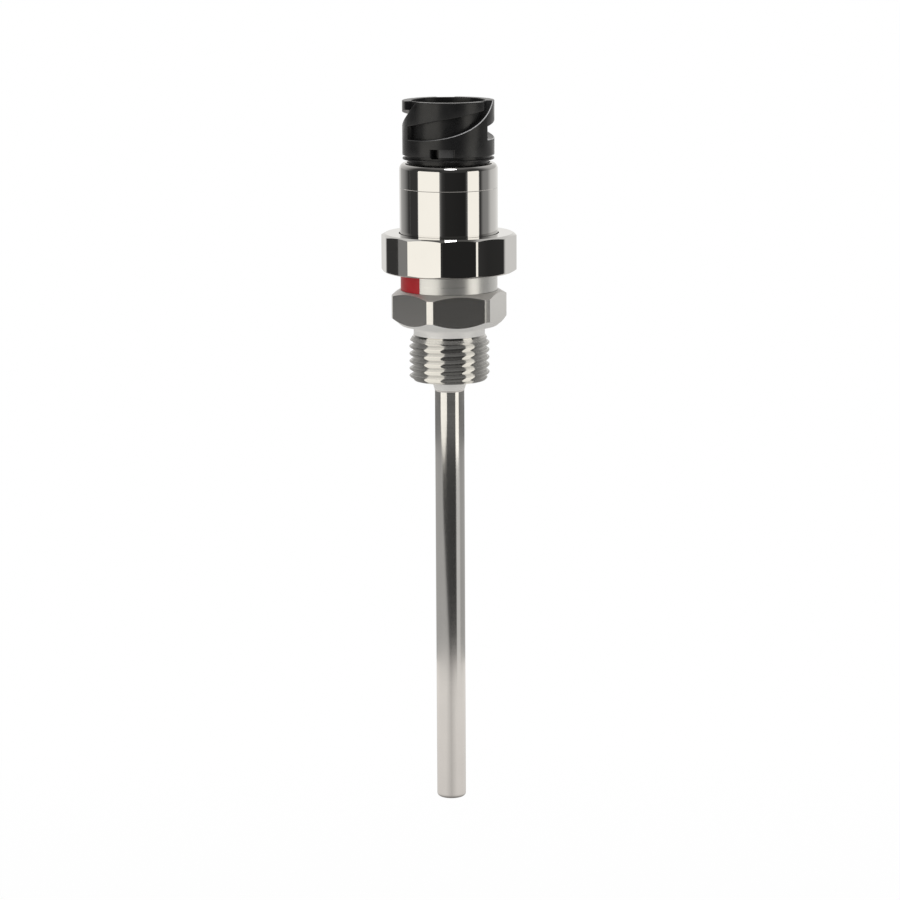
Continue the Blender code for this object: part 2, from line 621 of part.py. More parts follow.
def make_protection_tube(material):
    """Closed tube with the bead of the weld that joins it to the body."""
    bead_top = THREAD_END - GAP
    turned("protection_tube", [
        (0.0, TUBE_FLOOR),
        (TUBE_BORE_RADIUS, TUBE_FLOOR, TUBE_FLOOR_CORNER_RADIUS),
        (TUBE_BORE_RADIUS, TUBE_TOP),
        (TUBE_RADIUS, TUBE_TOP),
        (TUBE_RADIUS, bead_top),
        (TUBE_RADIUS + WELD_BEAD_HEIGHT, bead_top),
        (TUBE_RADIUS, bead_top - WELD_BEAD_LENGTH, WELD_BEAD_TOE_RADIUS),
        (TUBE_RADIUS, TIP, TUBE_TIP_RADIUS),
        (0.0, TIP),
    ], material, MEDIUM_STEPS)


def make_insert(tube_material, ferrule_material):
    """Thin tube of the measuring insert, and the ferrule that joins it to the sleeve's plate."""
    turned("insert_tube", [
        (0.0, INSERT_FLOOR),
        (INSERT_BORE_RADIUS, INSERT_FLOOR),
        (INSERT_BORE_RADIUS, INSERT_TOP),
        (INSERT_RADIUS, INSERT_TOP),
        (INSERT_RADIUS, INSERT_BOTTOM, INSERT_EDGE_RADIUS),
        (0.0, INSERT_BOTTOM),
    ], tube_material, steps=SMALL_STEPS)
    outer = CAVITY_RADIUS - FERRULE_CLEARANCE
    top = PLATE_BOTTOM - GAP
    bottom = top - FERRULE_LENGTH
    turned("insert_ferrule", [
        (INSERT_HOLE_RADIUS, top),
        (outer, top),
        (outer, bottom + FERRULE_TAPER_LENGTH),
        (INSERT_HOLE_RADIUS + INSERT_WALL, bottom),
        (INSERT_HOLE_RADIUS, bottom),
    ], ferrule_material, steps=SMALL_STEPS)


def make_measuring_parts(element_material, ceramic_material, seal_material):
    """Sensing element at the tip, the insulator that carries the leads, and the seal on top."""
    turned("sensing_element", [
        (0.0, ELEMENT_TOP),
        (ELEMENT_RADIUS, ELEMENT_TOP, ELEMENT_EDGE_RADIUS),
        (ELEMENT_RADIUS, ELEMENT_BOTTOM, ELEMENT_EDGE_RADIUS),
        (0.0, ELEMENT_BOTTOM),
    ], element_material, steps=SMALL_STEPS)
    rod = rod_outline(INSULATOR_RADIUS, INSULATOR_BOTTOM, INSULATOR_TOP)
    insulator = turned("insulator_rod", rod, ceramic_material, steps=SMALL_STEPS)
    plug = rod_outline(INSULATOR_RADIUS, END_SEAL_BOTTOM, END_SEAL_TOP)
    seal = turned("insert_end_seal", plug, seal_material, steps=SMALL_STEPS)
    bore = LEAD_DIAMETER / 2 + LEAD_CLEARANCE
    for piece in (insulator, seal):
        drill(
            piece, bore, contact_places(LEAD_CIRCLE_RADIUS),
            INSULATOR_BOTTOM - OVERCUT, END_SEAL_TOP + OVERCUT,
        )


def make_leads(material):
    """Four leads: straight through the insulator, then fanned out to the contact pins."""
    for index in range(PIN_COUNT):
        out = direction(PIN_FIRST_ANGLE + index * 360.0 / PIN_COUNT)
        points = [out * LEAD_CIRCLE_RADIUS + Vector((0, 0, LEAD_START))]
        for step in range(LEAD_STEPS + 1):
            share = step / LEAD_STEPS
            eased = share * share * (3 - 2 * share)
            radius = LEAD_CIRCLE_RADIUS + (PIN_CIRCLE_RADIUS - LEAD_CIRCLE_RADIUS) * eased
            height = INSERT_TOP + (LEAD_END - INSERT_TOP) * share
            points.append(out * radius + Vector((0, 0, height)))
        curve = bpy.data.curves.new(f"lead_wire_{index + 1}", "CURVE")
        curve.dimensions = "3D"
        curve.bevel_depth = LEAD_DIAMETER / 2
        curve.bevel_resolution = 1
        curve.use_fill_caps = True
        spline = curve.splines.new("POLY")
        spline.points.add(len(points) - 1)
        for target, point in zip(spline.points, points):
            target.co = (*point, 1.0)
        curve.materials.append(material)
        bpy.context.scene.collection.objects.link(bpy.data.objects.new(curve.name, curve))


def build():
    clear_scene()
    polished = plain_material("polished_steel", (0.62, 0.61, 0.59), 0.06, 1.0)
    satin = plain_material("satin_steel", (0.52, 0.51, 0.49), 0.32, 1.0)
    foil = plain_material("label_foil", (0.66, 0.66, 0.64), 0.35, 1.0)
    black = plain_material("black_plastic", (0.022, 0.021, 0.020), 0.38, 0.0)
    grey = plain_material("grey_plastic", (0.20, 0.20, 0.19), 0.50, 0.0)
    gold = plain_material("plated_contact", (0.78, 0.60, 0.26), 0.22, 1.0)
    rubber = plain_material("seal_rubber", (0.015, 0.015, 0.015), 0.70, 0.0)
    resin = plain_material("cast_resin", (0.05, 0.04, 0.03), 0.30, 0.0)
    ceramic = plain_material("white_ceramic", (0.82, 0.80, 0.74), 0.45, 0.0)
    copper = plain_material("tinned_copper", (0.64, 0.60, 0.54), 0.30, 1.0)

    make_connector_shell(black)
    make_pins(gold)
    make_carrier_and_potting(grey, resin)
    make_connector_seal(rubber)
    make_crimp_sleeve(polished)
    make_support_sleeve(grey)
    make_union_nut(polished)
    make_slip_ring(satin)
    make_gasket(rubber)
    make_hex_body(satin)
    make_label_band(foil)
    make_protection_tube(satin)
    make_insert(satin, satin)
    make_measuring_parts(ceramic, ceramic, resin)
    make_leads(copper)


build()
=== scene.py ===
"""Looks of the immersion temperature sensor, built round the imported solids.

Lengths are in metres and angles in degrees. Angles about the sensor's axis count from its front (-Y)
to the right (+X). Heights count from the sealing face under the hexagon, which is the frame's z = 0.
"""

import math

import bmesh
import bpy
from mathutils import Matrix, Vector


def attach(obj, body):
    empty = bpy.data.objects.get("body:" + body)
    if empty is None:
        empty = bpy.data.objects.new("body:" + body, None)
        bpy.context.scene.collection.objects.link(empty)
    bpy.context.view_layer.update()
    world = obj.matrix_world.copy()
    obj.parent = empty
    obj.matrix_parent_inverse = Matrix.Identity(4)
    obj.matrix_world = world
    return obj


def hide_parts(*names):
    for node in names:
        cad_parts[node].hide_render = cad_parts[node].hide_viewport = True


MM = 0.001

# Camera: where it stands, what it aims at and where that falls in the image
VIEW_TARGET_HEIGHT = -32.7 * MM
VIEW_LEVEL_DISTANCE = 771.0 * MM
VIEW_ABOVE_TARGET = 150.4 * MM
VIEW_PIXELS_PER_MM = 3.80
IMAGE_SIZE = 900
SENSOR_WIDTH = 36.0
TARGET_PIXEL = (449.9, 446.9)
VIEW_ROLL = -0.29

# Floor
FLOOR_HEIGHT = -0.90
FLOOR_RADIUS = 3.0

# Fineness
TURN_STEPS = 192
CORNER_STEPS = 12
FACET_SHARP_ANGLE = 8.0
SHARP_ANGLE = 30.0

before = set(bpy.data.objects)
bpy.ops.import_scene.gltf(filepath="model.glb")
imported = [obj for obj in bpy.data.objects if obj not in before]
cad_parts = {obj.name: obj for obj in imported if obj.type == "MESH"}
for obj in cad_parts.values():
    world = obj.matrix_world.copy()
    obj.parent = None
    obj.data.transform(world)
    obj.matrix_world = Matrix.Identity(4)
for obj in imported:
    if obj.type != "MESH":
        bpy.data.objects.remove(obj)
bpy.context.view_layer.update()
bpy.context.scene.view_settings.view_transform = "Standard"


def direction(degrees):
    """Unit vector at an angle from the front, counted to the right."""
    angle = math.radians(degrees)
    return Vector((math.sin(angle), -math.cos(angle), 0.0))


# Sizes

HEX = {"sides": 6, "across_flats": 27.0 * MM, "turned_diameter": 30.2 * MM, "corner_angle": -19.3}
HEX_TOP = 9.2 * MM
HEX_TOP_FACE_RADIUS = 12.85 * MM
HEX_TOP_CHAMFER_SLOPE = 1.3 / 2.25
SEALING_FACE_RADIUS = 12.6 * MM
HEX_BOTTOM_CHAMFER_SLOPE = 2.0 / 2.5

THREAD_RADIUS = 20.955 * MM / 2
THREAD_PITCH = 1.94 * MM
THREAD_DEPTH = 1.16 * MM
THREAD_CREST_SHARE = 0.30
THREAD_ROOT_SHARE = 0.16
THREAD_START = -2.5 * MM
THREAD_START_SLOPE = 0.62
THREAD_END = -14.5 * MM
THREAD_END_CHAMFER = 1.0 * MM
THREAD_CREST_AT_LEFT = -9.62 * MM
THREAD_ROW = 0.06 * MM
THREAD_EASING = 0.003
RELIEF_RADIUS = 9.3 * MM
RELIEF_FILLET = 1.3 * MM

BODY_TOP = 18.1 * MM
BODY_FLANGE_BOTTOM = 14.3 * MM
COUNTERBORE_RADIUS = 7.0 * MM
COUNTERBORE_BOTTOM = 4.0 * MM
INSERT_BORE_RADIUS = 4.9 * MM
INSERT_BORE_TOP = 1.9 * MM
INSERT_BORE_BOTTOM = -5.8 * MM
TUBE_SEAT_RADIUS = 4.15 * MM

NUT = {"sides": 12, "across_flats": 34.2 * MM, "turned_diameter": 35.26 * MM, "corner_angle": -6.0}
NUT_BOTTOM = 14.0 * MM
NUT_TOP = 24.0 * MM
NUT_FACE_RADIUS = 16.6 * MM
NUT_CHAMFER_SLOPE = 0.55
NUT_BORE_RADIUS = 14.5 * MM
NUT_SHOULDER = 22.0 * MM
SLIDE_RADIUS = 13.0 * MM

LABEL_RADIUS = 12.6 * MM
LABEL_THICKNESS = 0.25 * MM
LABEL_RED_FROM = -96.0
LABEL_RED_TO = -36.5
LABEL_SEAM_ANGLE = 5.0
SEAM = 0.08 * MM

RIM = 58.3 * MM
SHELL_RADIUS = 11.9 * MM
SOCKET_RADIUS = 9.5 * MM
SOCKET_FLOOR = 46.8 * MM
SOCKET_UNDERSIDE = 43.8 * MM
CUP_BOTTOM = 44.35 * MM
GROOVE_RADIUS = 11.1 * MM
COLLAR_RADIUS = 11.85 * MM
COLLAR_TOP = 43.6 * MM
COLLAR_BOTTOM = 43.2 * MM
NECK_RADIUS = 10.5 * MM
CRIMP_RADIUS = 11.43 * MM
CRIMP_TOP = 41.1 * MM
CRIMP_BOTTOM = 38.8 * MM
SHELL_SPIGOT_RADIUS = 9.5 * MM
SHELL_CAVITY_RADIUS = 8.2 * MM
SHELL_BOTTOM = 32.0 * MM
SHELL_EDGE = 0.20 * MM
SHELL_ARC_STEPS = 4
SHELL_SHARP_ANGLE = 40.0
JUMP_ANGLE = 0.02
ARC_ROOM_SHARE = 0.45
ARC_HALF_ANGLES = (1.0, 89.0)
WELD_DISTANCE = 1e-7

TRACK_COUNT = 3
TRACK_SPACING = 360.0 / TRACK_COUNT
TRACK_FLOOR_RADIUS = 10.15 * MM
TRACK_START_ANGLE = 76.0
TRACK_MOUTH_ANGLE = 25.0
TRACK_SWEEP_ANGLE = 138.0
TRACK_LEVELLING = 2.8
TRACK_END_DEPTH = 9.7 * MM
TRACK_END_HEIGHT = 3.3 * MM
TONGUE_TIP_DEPTH = 2.2 * MM
TRACK_SWITCH_ANGLE = 60.0

# Rows of the receptacle's outline: where its two cuts start, how many points a cut has, the rounded
# edge of each cut's ledge, and the face of the latch window
ARC_POINTS = SHELL_ARC_STEPS + 1
FIRST_TRACK_ROW = 3 * ARC_POINTS + 4
TRACK_POINTS = 2 * ARC_POINTS + 2
LEDGE_EDGE_ROWS = {
    start + ARC_POINTS + 2 + step
    for start in (FIRST_TRACK_ROW, FIRST_TRACK_ROW + TRACK_POINTS)
    for step in range(SHELL_ARC_STEPS)
}
WINDOW_FACE_ROW = FIRST_TRACK_ROW + 2 * TRACK_POINTS + 1

WINDOW_ANGLES = (-23.0, -13.0, 7.0)
WINDOW_TOP = CUP_BOTTOM + 2.15 * MM
WINDOW_BOTTOM = CUP_BOTTOM - 0.375 * MM
WINDOW_PIT_RADIUS = 8.7 * MM
WINDOW_TAB_RADIUS = 11.2 * MM

KEY_ANGLE = 180.0
KEY_HALF_ANGLE = 5.0
KEY_INNER_RADIUS = 8.5 * MM
KEY_TOP = 56.3 * MM

PIN_CIRCLE_RADIUS = 4.8 * MM
PIN_RADIUS = 1.2 * MM
PIN_TIP = 56.0 * MM
PIN_TIP_ARC = 0.8 * MM
PIN_COLLAR_RADIUS = 1.7 * MM
PIN_COLLAR_TOP = 43.5 * MM
PIN_COLLAR_BOTTOM = 41.5 * MM
PIN_TAIL_RADIUS = 0.7 * MM
PIN_TAIL_END = 33.0 * MM
PIN_HOLE_RADIUS = 1.5 * MM
PIN_HOLE_OVERRUN = 1.0 * MM
PIN_STEPS = 48

SLEEVE_RADIUS = 12.73 * MM
SLEEVE_BORE_RADIUS = 11.73 * MM
SLEEVE_TOP = 42.3 * MM
SLEEVE_SHOULDER_ARC = 1.7 * MM
SLEEVE_LINE = 35.8 * MM
LINE_WIDTH = 0.16 * MM
LINE_DEPTH = 0.02 * MM
LIP_BORE_RADIUS = 10.8 * MM
LIP_THICKNESS = 0.9 * MM
PLATE_BOTTOM = 19.5 * MM
PLATE_TOP = 20.7 * MM
PLATE_RADIUS = 14.2 * MM
INSERT_HOLE_RADIUS = 3.1 * MM

# Short stretch beside an arc that keeps the shading of the long wall next to it flat
ARC_MARGIN = 0.2 * MM

TUBE_RADIUS = 3.85 * MM
TUBE_BORE_RADIUS = 3.10 * MM
TUBE_TOP = -5.5 * MM
TUBE_TIP = -128.1 * MM
TUBE_TIP_ARC = 0.8 * MM
TUBE_FLOOR = TUBE_TIP + 2.2 * MM
TUBE_FLOOR_ARC = 0.4 * MM
TUBE_STEPS = 96
BEAD_RADIUS = 4.75 * MM
BEAD_LENGTH = 2.8 * MM

# Tolerances where faces are picked by their place and their tilt
TOUCH = 0.01 * MM
TILT_LIMIT = 0.1

# Finish and painted shade of the thread by its phase, which goes from 0 at a crest up to 1 at the next: the
# upper flank comes first and is duller
THREAD_COLOR = (0.745, 0.735, 0.71)
THREAD_ROUGHNESS = [
    (0.0, 0.06), (0.06, 0.12), (0.16, 0.14), (0.18, 0.06), (0.23, 0.06), (0.25, 0.14), (0.44, 0.14),
    (0.50, 0.06), (1.0, 0.05),
]
THREAD_METAL = [
    (0.0, 1.0), (0.07, 0.98), (0.12, 0.76), (0.17, 0.76), (0.20, 0.68), (0.24, 0.74), (0.44, 0.73),
    (0.50, 0.94), (0.93, 0.94), (1.0, 1.0),
]
# Painted shade and highlight in the thread's colour by phase: darker over both flanks, most over the upper
# one, with a thin painted highlight line on it
THREAD_PAINTED_SHADE = [
    (0.0, 1.0), (0.06, 0.90), (0.17, 0.88), (0.20, 1.10), (0.24, 0.82), (0.44, 0.74), (0.50, 0.80),
    (0.56, 0.88), (0.93, 0.90), (1.0, 1.0),
]

# Run-out of the thread under the relief: above each height, its roughness and its share of metal
THREAD_START_BANDS = [(-4.1 * MM, 0.20, 0.82), (-2.98 * MM, 0.06, 1.0)]

THREAD_ROUGHNESS_SPREAD = (0.85, 1.15)
THREAD_SHADE_SPREAD = (0.97, 1.03)

# Other finishes
NOISE_MIDDLE = (0.3, 0.7)
BUMP_HEIGHT = 0.02 * MM
# Painted highlight on the receptacle's ledge edges: its colour runs from dark to pale across X
EDGE_HIGHLIGHT_REACH = (-7.0 * MM, 9.0 * MM)
EDGE_HIGHLIGHT_COLORS = ((0.05, 0.05, 0.051), (0.56, 0.56, 0.57))
PLASTIC_SPREAD = 0.06
INNER_SHADE = 0.85


# Materials


def node_material(name, color, roughness, metallic):
    """A Principled material and the tools to wire it: its nodes, links and shader."""
    material = bpy.data.materials.new(name)
    material.use_nodes = True
    tree = material.node_tree
    shader = tree.nodes["Principled BSDF"]
    shader.inputs["Base Color"].default_value = (*color, 1.0)
    shader.inputs["Roughness"].default_value = roughness
    shader.inputs["Metallic"].default_value = metallic
    return material, tree, shader


def added(tree, kind, **inputs):
    """A new node with some inputs set, by name with underscores for spaces."""
    node = tree.nodes.new(kind)
    for key, value in inputs.items():
        node.inputs[key.replace("_", " ")].default_value = value
    return node


def math_node(tree, operation, *values):
    """A Math node; each value is a number or a socket."""
    node = tree.nodes.new("ShaderNodeMath")
    node.operation = operation
    for socket, value in zip(node.inputs, values):
        if isinstance(value, (int, float)):
            socket.default_value = value
        else:
            tree.links.new(value, socket)
    return node.outputs["Value"]


def mapped(tree, value, source, target=(0.0, 1.0), interpolation="LINEAR"):
    """Maps a socket from one range onto another and holds it at their ends."""
    node = tree.nodes.new("ShaderNodeMapRange")
    node.interpolation_type = interpolation
    for prefix, ends in (("From", source), ("To", target)):
        node.inputs[f"{prefix} Min"].default_value = ends[0]
        node.inputs[f"{prefix} Max"].default_value = ends[1]
    tree.links.new(value, node.inputs["Value"])
    return node.outputs["Result"]


def axes_of(tree, coordinates):
    """The X, Y and Z sockets of a texture coordinate."""
    place = tree.nodes.new("ShaderNodeTexCoord")
    split = tree.nodes.new("ShaderNodeSeparateXYZ")
    tree.links.new(place.outputs[coordinates], split.inputs["Vector"])
    return split.outputs


def azimuth_of(tree, axes):
    """Azimuth in radians of a place or a direction, from the front and to the right."""
    toward = math_node(tree, "MULTIPLY", axes["Y"], -1.0)
    return math_node(tree, "ARCTAN2", axes["X"], toward)


def color_ramp(tree, factor, stops):
    """A colour along a factor, from (place, colour) stops."""
    ramp = tree.nodes.new("ShaderNodeValToRGB")
    elements = ramp.color_ramp.elements
    while len(elements) < len(stops):
        elements.new(0.5)
    for element, (place, color) in zip(elements, stops):
        element.position = place
    for element, (place, color) in zip(elements, stops):
        element.color = (*color, 1.0)
    tree.links.new(factor, ramp.inputs["Fac"])
    return ramp.outputs["Color"]


def value_ramp(tree, factor, stops):
    """A number along a factor, from (place, number) stops."""
    color = color_ramp(tree, factor, [(place, (value, value, value)) for place, value in stops])
    grey = tree.nodes.new("ShaderNodeSeparateColor")
    tree.links.new(color, grey.inputs["Color"])
    return grey.outputs["Red"]


def stretched_noise(tree, scale, detail=3.0, roughness=0.5):
    """Noise in object space, with its own scale along each axis."""
    place = tree.nodes.new("ShaderNodeTexCoord")
    mapping = added(tree, "ShaderNodeMapping", Scale=scale)
    noise = added(tree, "ShaderNodeTexNoise", Scale=1.0, Detail=detail, Roughness=roughness)
    tree.links.new(place.outputs["Object"], mapping.inputs["Vector"])
    tree.links.new(mapping.outputs["Vector"], noise.inputs["Vector"])
    return noise.outputs["Fac"]


def spread(tree, noise, low, high):
    """Maps the middle of a noise onto low..high."""
    return mapped(tree, noise, NOISE_MIDDLE, (low, high))


def blended(tree, factor, first, second):
    """A colour between two, by a socket."""
    node = tree.nodes.new("ShaderNodeMix")
    node.data_type = "RGBA"
    node.inputs["A"].default_value = (*first, 1.0)
    node.inputs["B"].default_value = (*second, 1.0)
    tree.links.new(factor, node.inputs["Factor"])
    return node.outputs["Result"]


def bumped(tree, shader, factor, strength):
    """Raises the surface a little where the factor is high."""
    bump = added(tree, "ShaderNodeBump", Strength=strength, Distance=BUMP_HEIGHT)
    tree.links.new(factor, bump.inputs["Height"])
    tree.links.new(bump.outputs["Normal"], shader.inputs["Normal"])


def turned_metal(name, color, dull_color, roughness, rough_spread, line_scale, line_strength, metallic=1.0):
    """Metal with fine turning lines round the axis: noise squeezed along Z."""
    material, tree, shader = node_material(name, color, roughness, metallic)
    cloud = stretched_noise(tree, (220.0, 220.0, 160.0))
    tree.links.new(blended(tree, cloud, color, dull_color), shader.inputs["Base Color"])
    lines = stretched_noise(tree, (30.0, 30.0, line_scale), detail=5.0, roughness=0.6)
    rough = spread(tree, lines, roughness - rough_spread, roughness + rough_spread)
    tree.links.new(rough, shader.inputs["Roughness"])
    bumped(tree, shader, lines, line_strength)
    return material


def polished_metal():
    return turned_metal(
        "polished_plating", (0.86, 0.85, 0.835), (0.82, 0.81, 0.795),
        roughness=0.008, rough_spread=0.004, line_scale=9000.0, line_strength=0.0005,
    )


def milled_metal():
    """Steel milled flat: long cutter marks along the flats over a fine satin."""
    material, tree, shader = node_material("milled_steel", (0.84, 0.83, 0.81), roughness=0.20, metallic=1.0)
    cloud = stretched_noise(tree, (180.0, 180.0, 420.0))
    tint = blended(tree, cloud, (0.86, 0.85, 0.83), (0.82, 0.81, 0.79))
    tree.links.new(tint, shader.inputs["Base Color"])
    marks = stretched_noise(tree, (25.0, 25.0, 3800.0), detail=6.0, roughness=0.75)
    tree.links.new(spread(tree, marks, low=0.195, high=0.215), shader.inputs["Roughness"])
    bumped(tree, shader, marks, strength=0.006)
    return material


def thread_metal():
    """Thread cut on a lathe: polished under each crest, duller over it, with painted shade and a painted
    highlight line in its colour. The shading eases the flanks.
    """
    material, tree, shader = node_material("thread_steel", THREAD_COLOR, roughness=0.1, metallic=1.0)
    axes = axes_of(tree, "Object")
    crest_place = -0.25 - THREAD_CREST_AT_LEFT / THREAD_PITCH
    turns = math_node(tree, "MULTIPLY_ADD", azimuth_of(tree, axes), -0.5 / math.pi, crest_place)
    pitches = math_node(tree, "MULTIPLY_ADD", axes["Z"], 1.0 / THREAD_PITCH, turns)
    phase = math_node(tree, "FRACT", pitches)
    rough = value_ramp(tree, phase, THREAD_ROUGHNESS)
    metal = value_ramp(tree, phase, THREAD_METAL)
    for height, start_rough, start_metal in THREAD_START_BANDS:
        above = math_node(tree, "GREATER_THAN", axes["Z"], height)
        below = math_node(tree, "SUBTRACT", 1.0, above)
        rough = math_node(tree, "MULTIPLY", rough, below)
        rough = math_node(tree, "MULTIPLY_ADD", above, start_rough, rough)
        metal = math_node(tree, "MULTIPLY", metal, below)
        metal = math_node(tree, "MULTIPLY_ADD", above, start_metal, metal)
    tree.links.new(metal, shader.inputs["Metallic"])
    lines = stretched_noise(tree, (40.0, 40.0, 9000.0), detail=5.0, roughness=0.6)
    rough = math_node(tree, "MULTIPLY", rough, spread(tree, lines, *THREAD_ROUGHNESS_SPREAD))
    tree.links.new(rough, shader.inputs["Roughness"])
    # Painted shade and highlight of the thread's colour
    shade = value_ramp(tree, phase, THREAD_PAINTED_SHADE)
    level = math_node(tree, "MULTIPLY", shade, spread(tree, lines, *THREAD_SHADE_SPREAD))
    tint = tree.nodes.new("ShaderNodeCombineColor")
    for socket, share in zip(tint.inputs, THREAD_COLOR):
        tree.links.new(math_node(tree, "MULTIPLY", level, share), socket)
    tree.links.new(tint.outputs["Color"], shader.inputs["Base Color"])
    surface = tree.nodes.new("ShaderNodeNewGeometry")
    parts = tree.nodes.new("ShaderNodeSeparateXYZ")
    tree.links.new(surface.outputs["Normal"], parts.inputs["Vector"])
    eased = tree.nodes.new("ShaderNodeCombineXYZ")
    tree.links.new(parts.outputs["X"], eased.inputs["X"])
    tree.links.new(parts.outputs["Y"], eased.inputs["Y"])
    tree.links.new(math_node(tree, "MULTIPLY", parts.outputs["Z"], THREAD_EASING), eased.inputs["Z"])
    unit = tree.nodes.new("ShaderNodeVectorMath")
    unit.operation = "NORMALIZE"
    tree.links.new(eased.outputs["Vector"], unit.inputs[0])
    tree.links.new(unit.outputs["Vector"], shader.inputs["Normal"])
    return material


def frosted_metal():
    """Pale blasted steel of the relief and of the weld's bead."""
    color = (0.93, 0.925, 0.91)
    material, tree, shader = node_material("frosted_steel", color, roughness=0.45, metallic=0.30)
    grain = stretched_noise(tree, (2600.0, 2600.0, 2600.0), detail=4.0, roughness=0.7)
    tint = blended(tree, grain, (0.95, 0.945, 0.93), (0.88, 0.875, 0.86))
    tree.links.new(tint, shader.inputs["Base Color"])
    tree.links.new(spread(tree, grain, low=0.38, high=0.50), shader.inputs["Roughness"])
    bumped(tree, shader, grain, strength=0.25)
    return material


def plastic(name, color, paler, roughness):
    """Glass-filled plastic: a faint cloudy tint and a fine grain."""
    material, tree, shader = node_material(name, color, roughness, metallic=0.0)
    cloud = stretched_noise(tree, (400.0, 400.0, 400.0), detail=4.0)
    tree.links.new(blended(tree, cloud, color, paler), shader.inputs["Base Color"])
    rough = spread(tree, cloud, roughness - PLASTIC_SPREAD, roughness + PLASTIC_SPREAD)
    tree.links.new(rough, shader.inputs["Roughness"])
    grain = stretched_noise(tree, (9000.0, 9000.0, 9000.0), detail=2.0)
    bumped(tree, shader, grain, strength=0.04)
    return material


def painted_edge_highlight():
    """Painted highlight on the rounded edges of the receptacle's ledges, paler towards +X."""
    material, tree, shader = node_material("edge_highlight_plastic", EDGE_HIGHLIGHT_COLORS[0], roughness=0.25, metallic=0.0)
    highlight_share = mapped(tree, axes_of(tree, "Object")["X"], EDGE_HIGHLIGHT_REACH)
    tree.links.new(blended(tree, highlight_share, *EDGE_HIGHLIGHT_COLORS), shader.inputs["Base Color"])
    return material


def plain_inner(name, color, roughness, metallic):
    """Finish of an inner piece: its colour with a little cloud."""
    material, tree, shader = node_material(name, color, roughness, metallic)
    cloud = stretched_noise(tree, (600.0, 600.0, 600.0))
    darker = tuple(channel * INNER_SHADE for channel in color)
    tree.links.new(blended(tree, cloud, color, darker), shader.inputs["Base Color"])
    return material


# Shapes


def arc_points(here, before, after, arc_radius, steps):
    """Points of the arc that rounds a corner, from the unit directions to its neighbours."""
    half = before.angle(after) / 2
    centre = here + (before + after).normalized() * (arc_radius / math.sin(half))
    start = (here + before * (arc_radius / math.tan(half)) - centre).normalized()
    end = (here + after * (arc_radius / math.tan(half)) - centre).normalized()
    return [centre + start.slerp(end, step / steps) * arc_radius for step in range(steps + 1)]


def rounded(corners):
    """Outline points from corners (radius, height) or, with an arc, (radius, height, arc radius)."""
    points = []
    for index, corner in enumerate(corners):
        here = Vector(corner[:2])
        if len(corner) == 2:
            points.append(here)
            continue
        before = (Vector(corners[index - 1][:2]) - here).normalized()
        after = (Vector(corners[(index + 1) % len(corners)][:2]) - here).normalized()
        points.extend(arc_points(here, before, after, corner[2], CORNER_STEPS))
    return points


def lathe(name, column, angles, material, sharp=SHARP_ANGLE):
    """A closed piece round the axis. column(angle) gives its closed outline of (radius, height)."""
    mesh_tool = bmesh.new()
    columns = []
    poles = {}
    for angle in angles:
        out = direction(angle)
        verts = []
        for index, (radius, height) in enumerate(column(angle)):
            if radius > 0.0:
                verts.append(mesh_tool.verts.new(out * radius + Vector((0, 0, height))))
                continue
            if index not in poles:
                poles[index] = mesh_tool.verts.new((0, 0, height))
            verts.append(poles[index])
        columns.append(verts)
    for here, after in zip(columns, columns[1:] + columns[:1]):
        for index in range(len(here)):
            following = (index + 1) % len(here)
            corners = [here[index], after[index], after[following], here[following]]
            unique = list(dict.fromkeys(corners))
            if len(unique) > 2:
                mesh_tool.faces.new(unique)
    return object_from(name, mesh_tool, material, sharp)


def object_from(name, mesh_tool, material, sharp=SHARP_ANGLE):
    """A smooth-shaded object from a mesh under work, sharp where faces meet at more than an angle."""
    bmesh.ops.recalc_face_normals(mesh_tool, faces=mesh_tool.faces)
    mesh = bpy.data.meshes.new(name)
    mesh_tool.to_mesh(mesh)
    mesh_tool.free()
    if material:
        mesh.materials.append(material)
    mesh.shade_smooth()
    mesh.set_sharp_from_angle(angle=math.radians(sharp))
    piece = bpy.data.objects.new(name, mesh)
    bpy.context.scene.collection.objects.link(piece)
    return piece


def even_angles(steps):
    return [360.0 * index / steps for index in range(steps)]


def turned(name, corners, material, sharp=SHARP_ANGLE, steps=TURN_STEPS):
    """A piece turned round the axis from the corners of its closed outline."""
    outline = rounded(corners)
    return lathe(name, lambda angle: outline, even_angles(steps), material, sharp)


def dress(piece, node, body):
    """The piece stands for a CAD node and rides on its body."""
    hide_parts(node)
    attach(piece, body)


def facet_angles(sides, across_flats, turned_diameter, corner_angle, face_steps, land_steps):
    """Angles of the columns of a prism with turned corners, with a column on every edge."""
    pitch = 360.0 / sides
    half_face = math.degrees(math.acos(across_flats / turned_diameter))
    angles = []
    for side in range(sides):
        middle = corner_angle + pitch * (side + 0.5)
        for step in range(face_steps):
            angles.append(middle - half_face + 2 * half_face * step / face_steps)
        for step in range(land_steps):
            angles.append(middle + half_face + (pitch - 2 * half_face) * step / land_steps)
    return angles


def facet_radius(angle, sides, across_flats, turned_diameter, corner_angle):
    """Radius of that prism at an angle."""
    pitch = 360.0 / sides
    from_middle = (angle - corner_angle) % pitch - pitch / 2
    return min(across_flats / 2 / math.cos(math.radians(from_middle)), turned_diameter / 2)


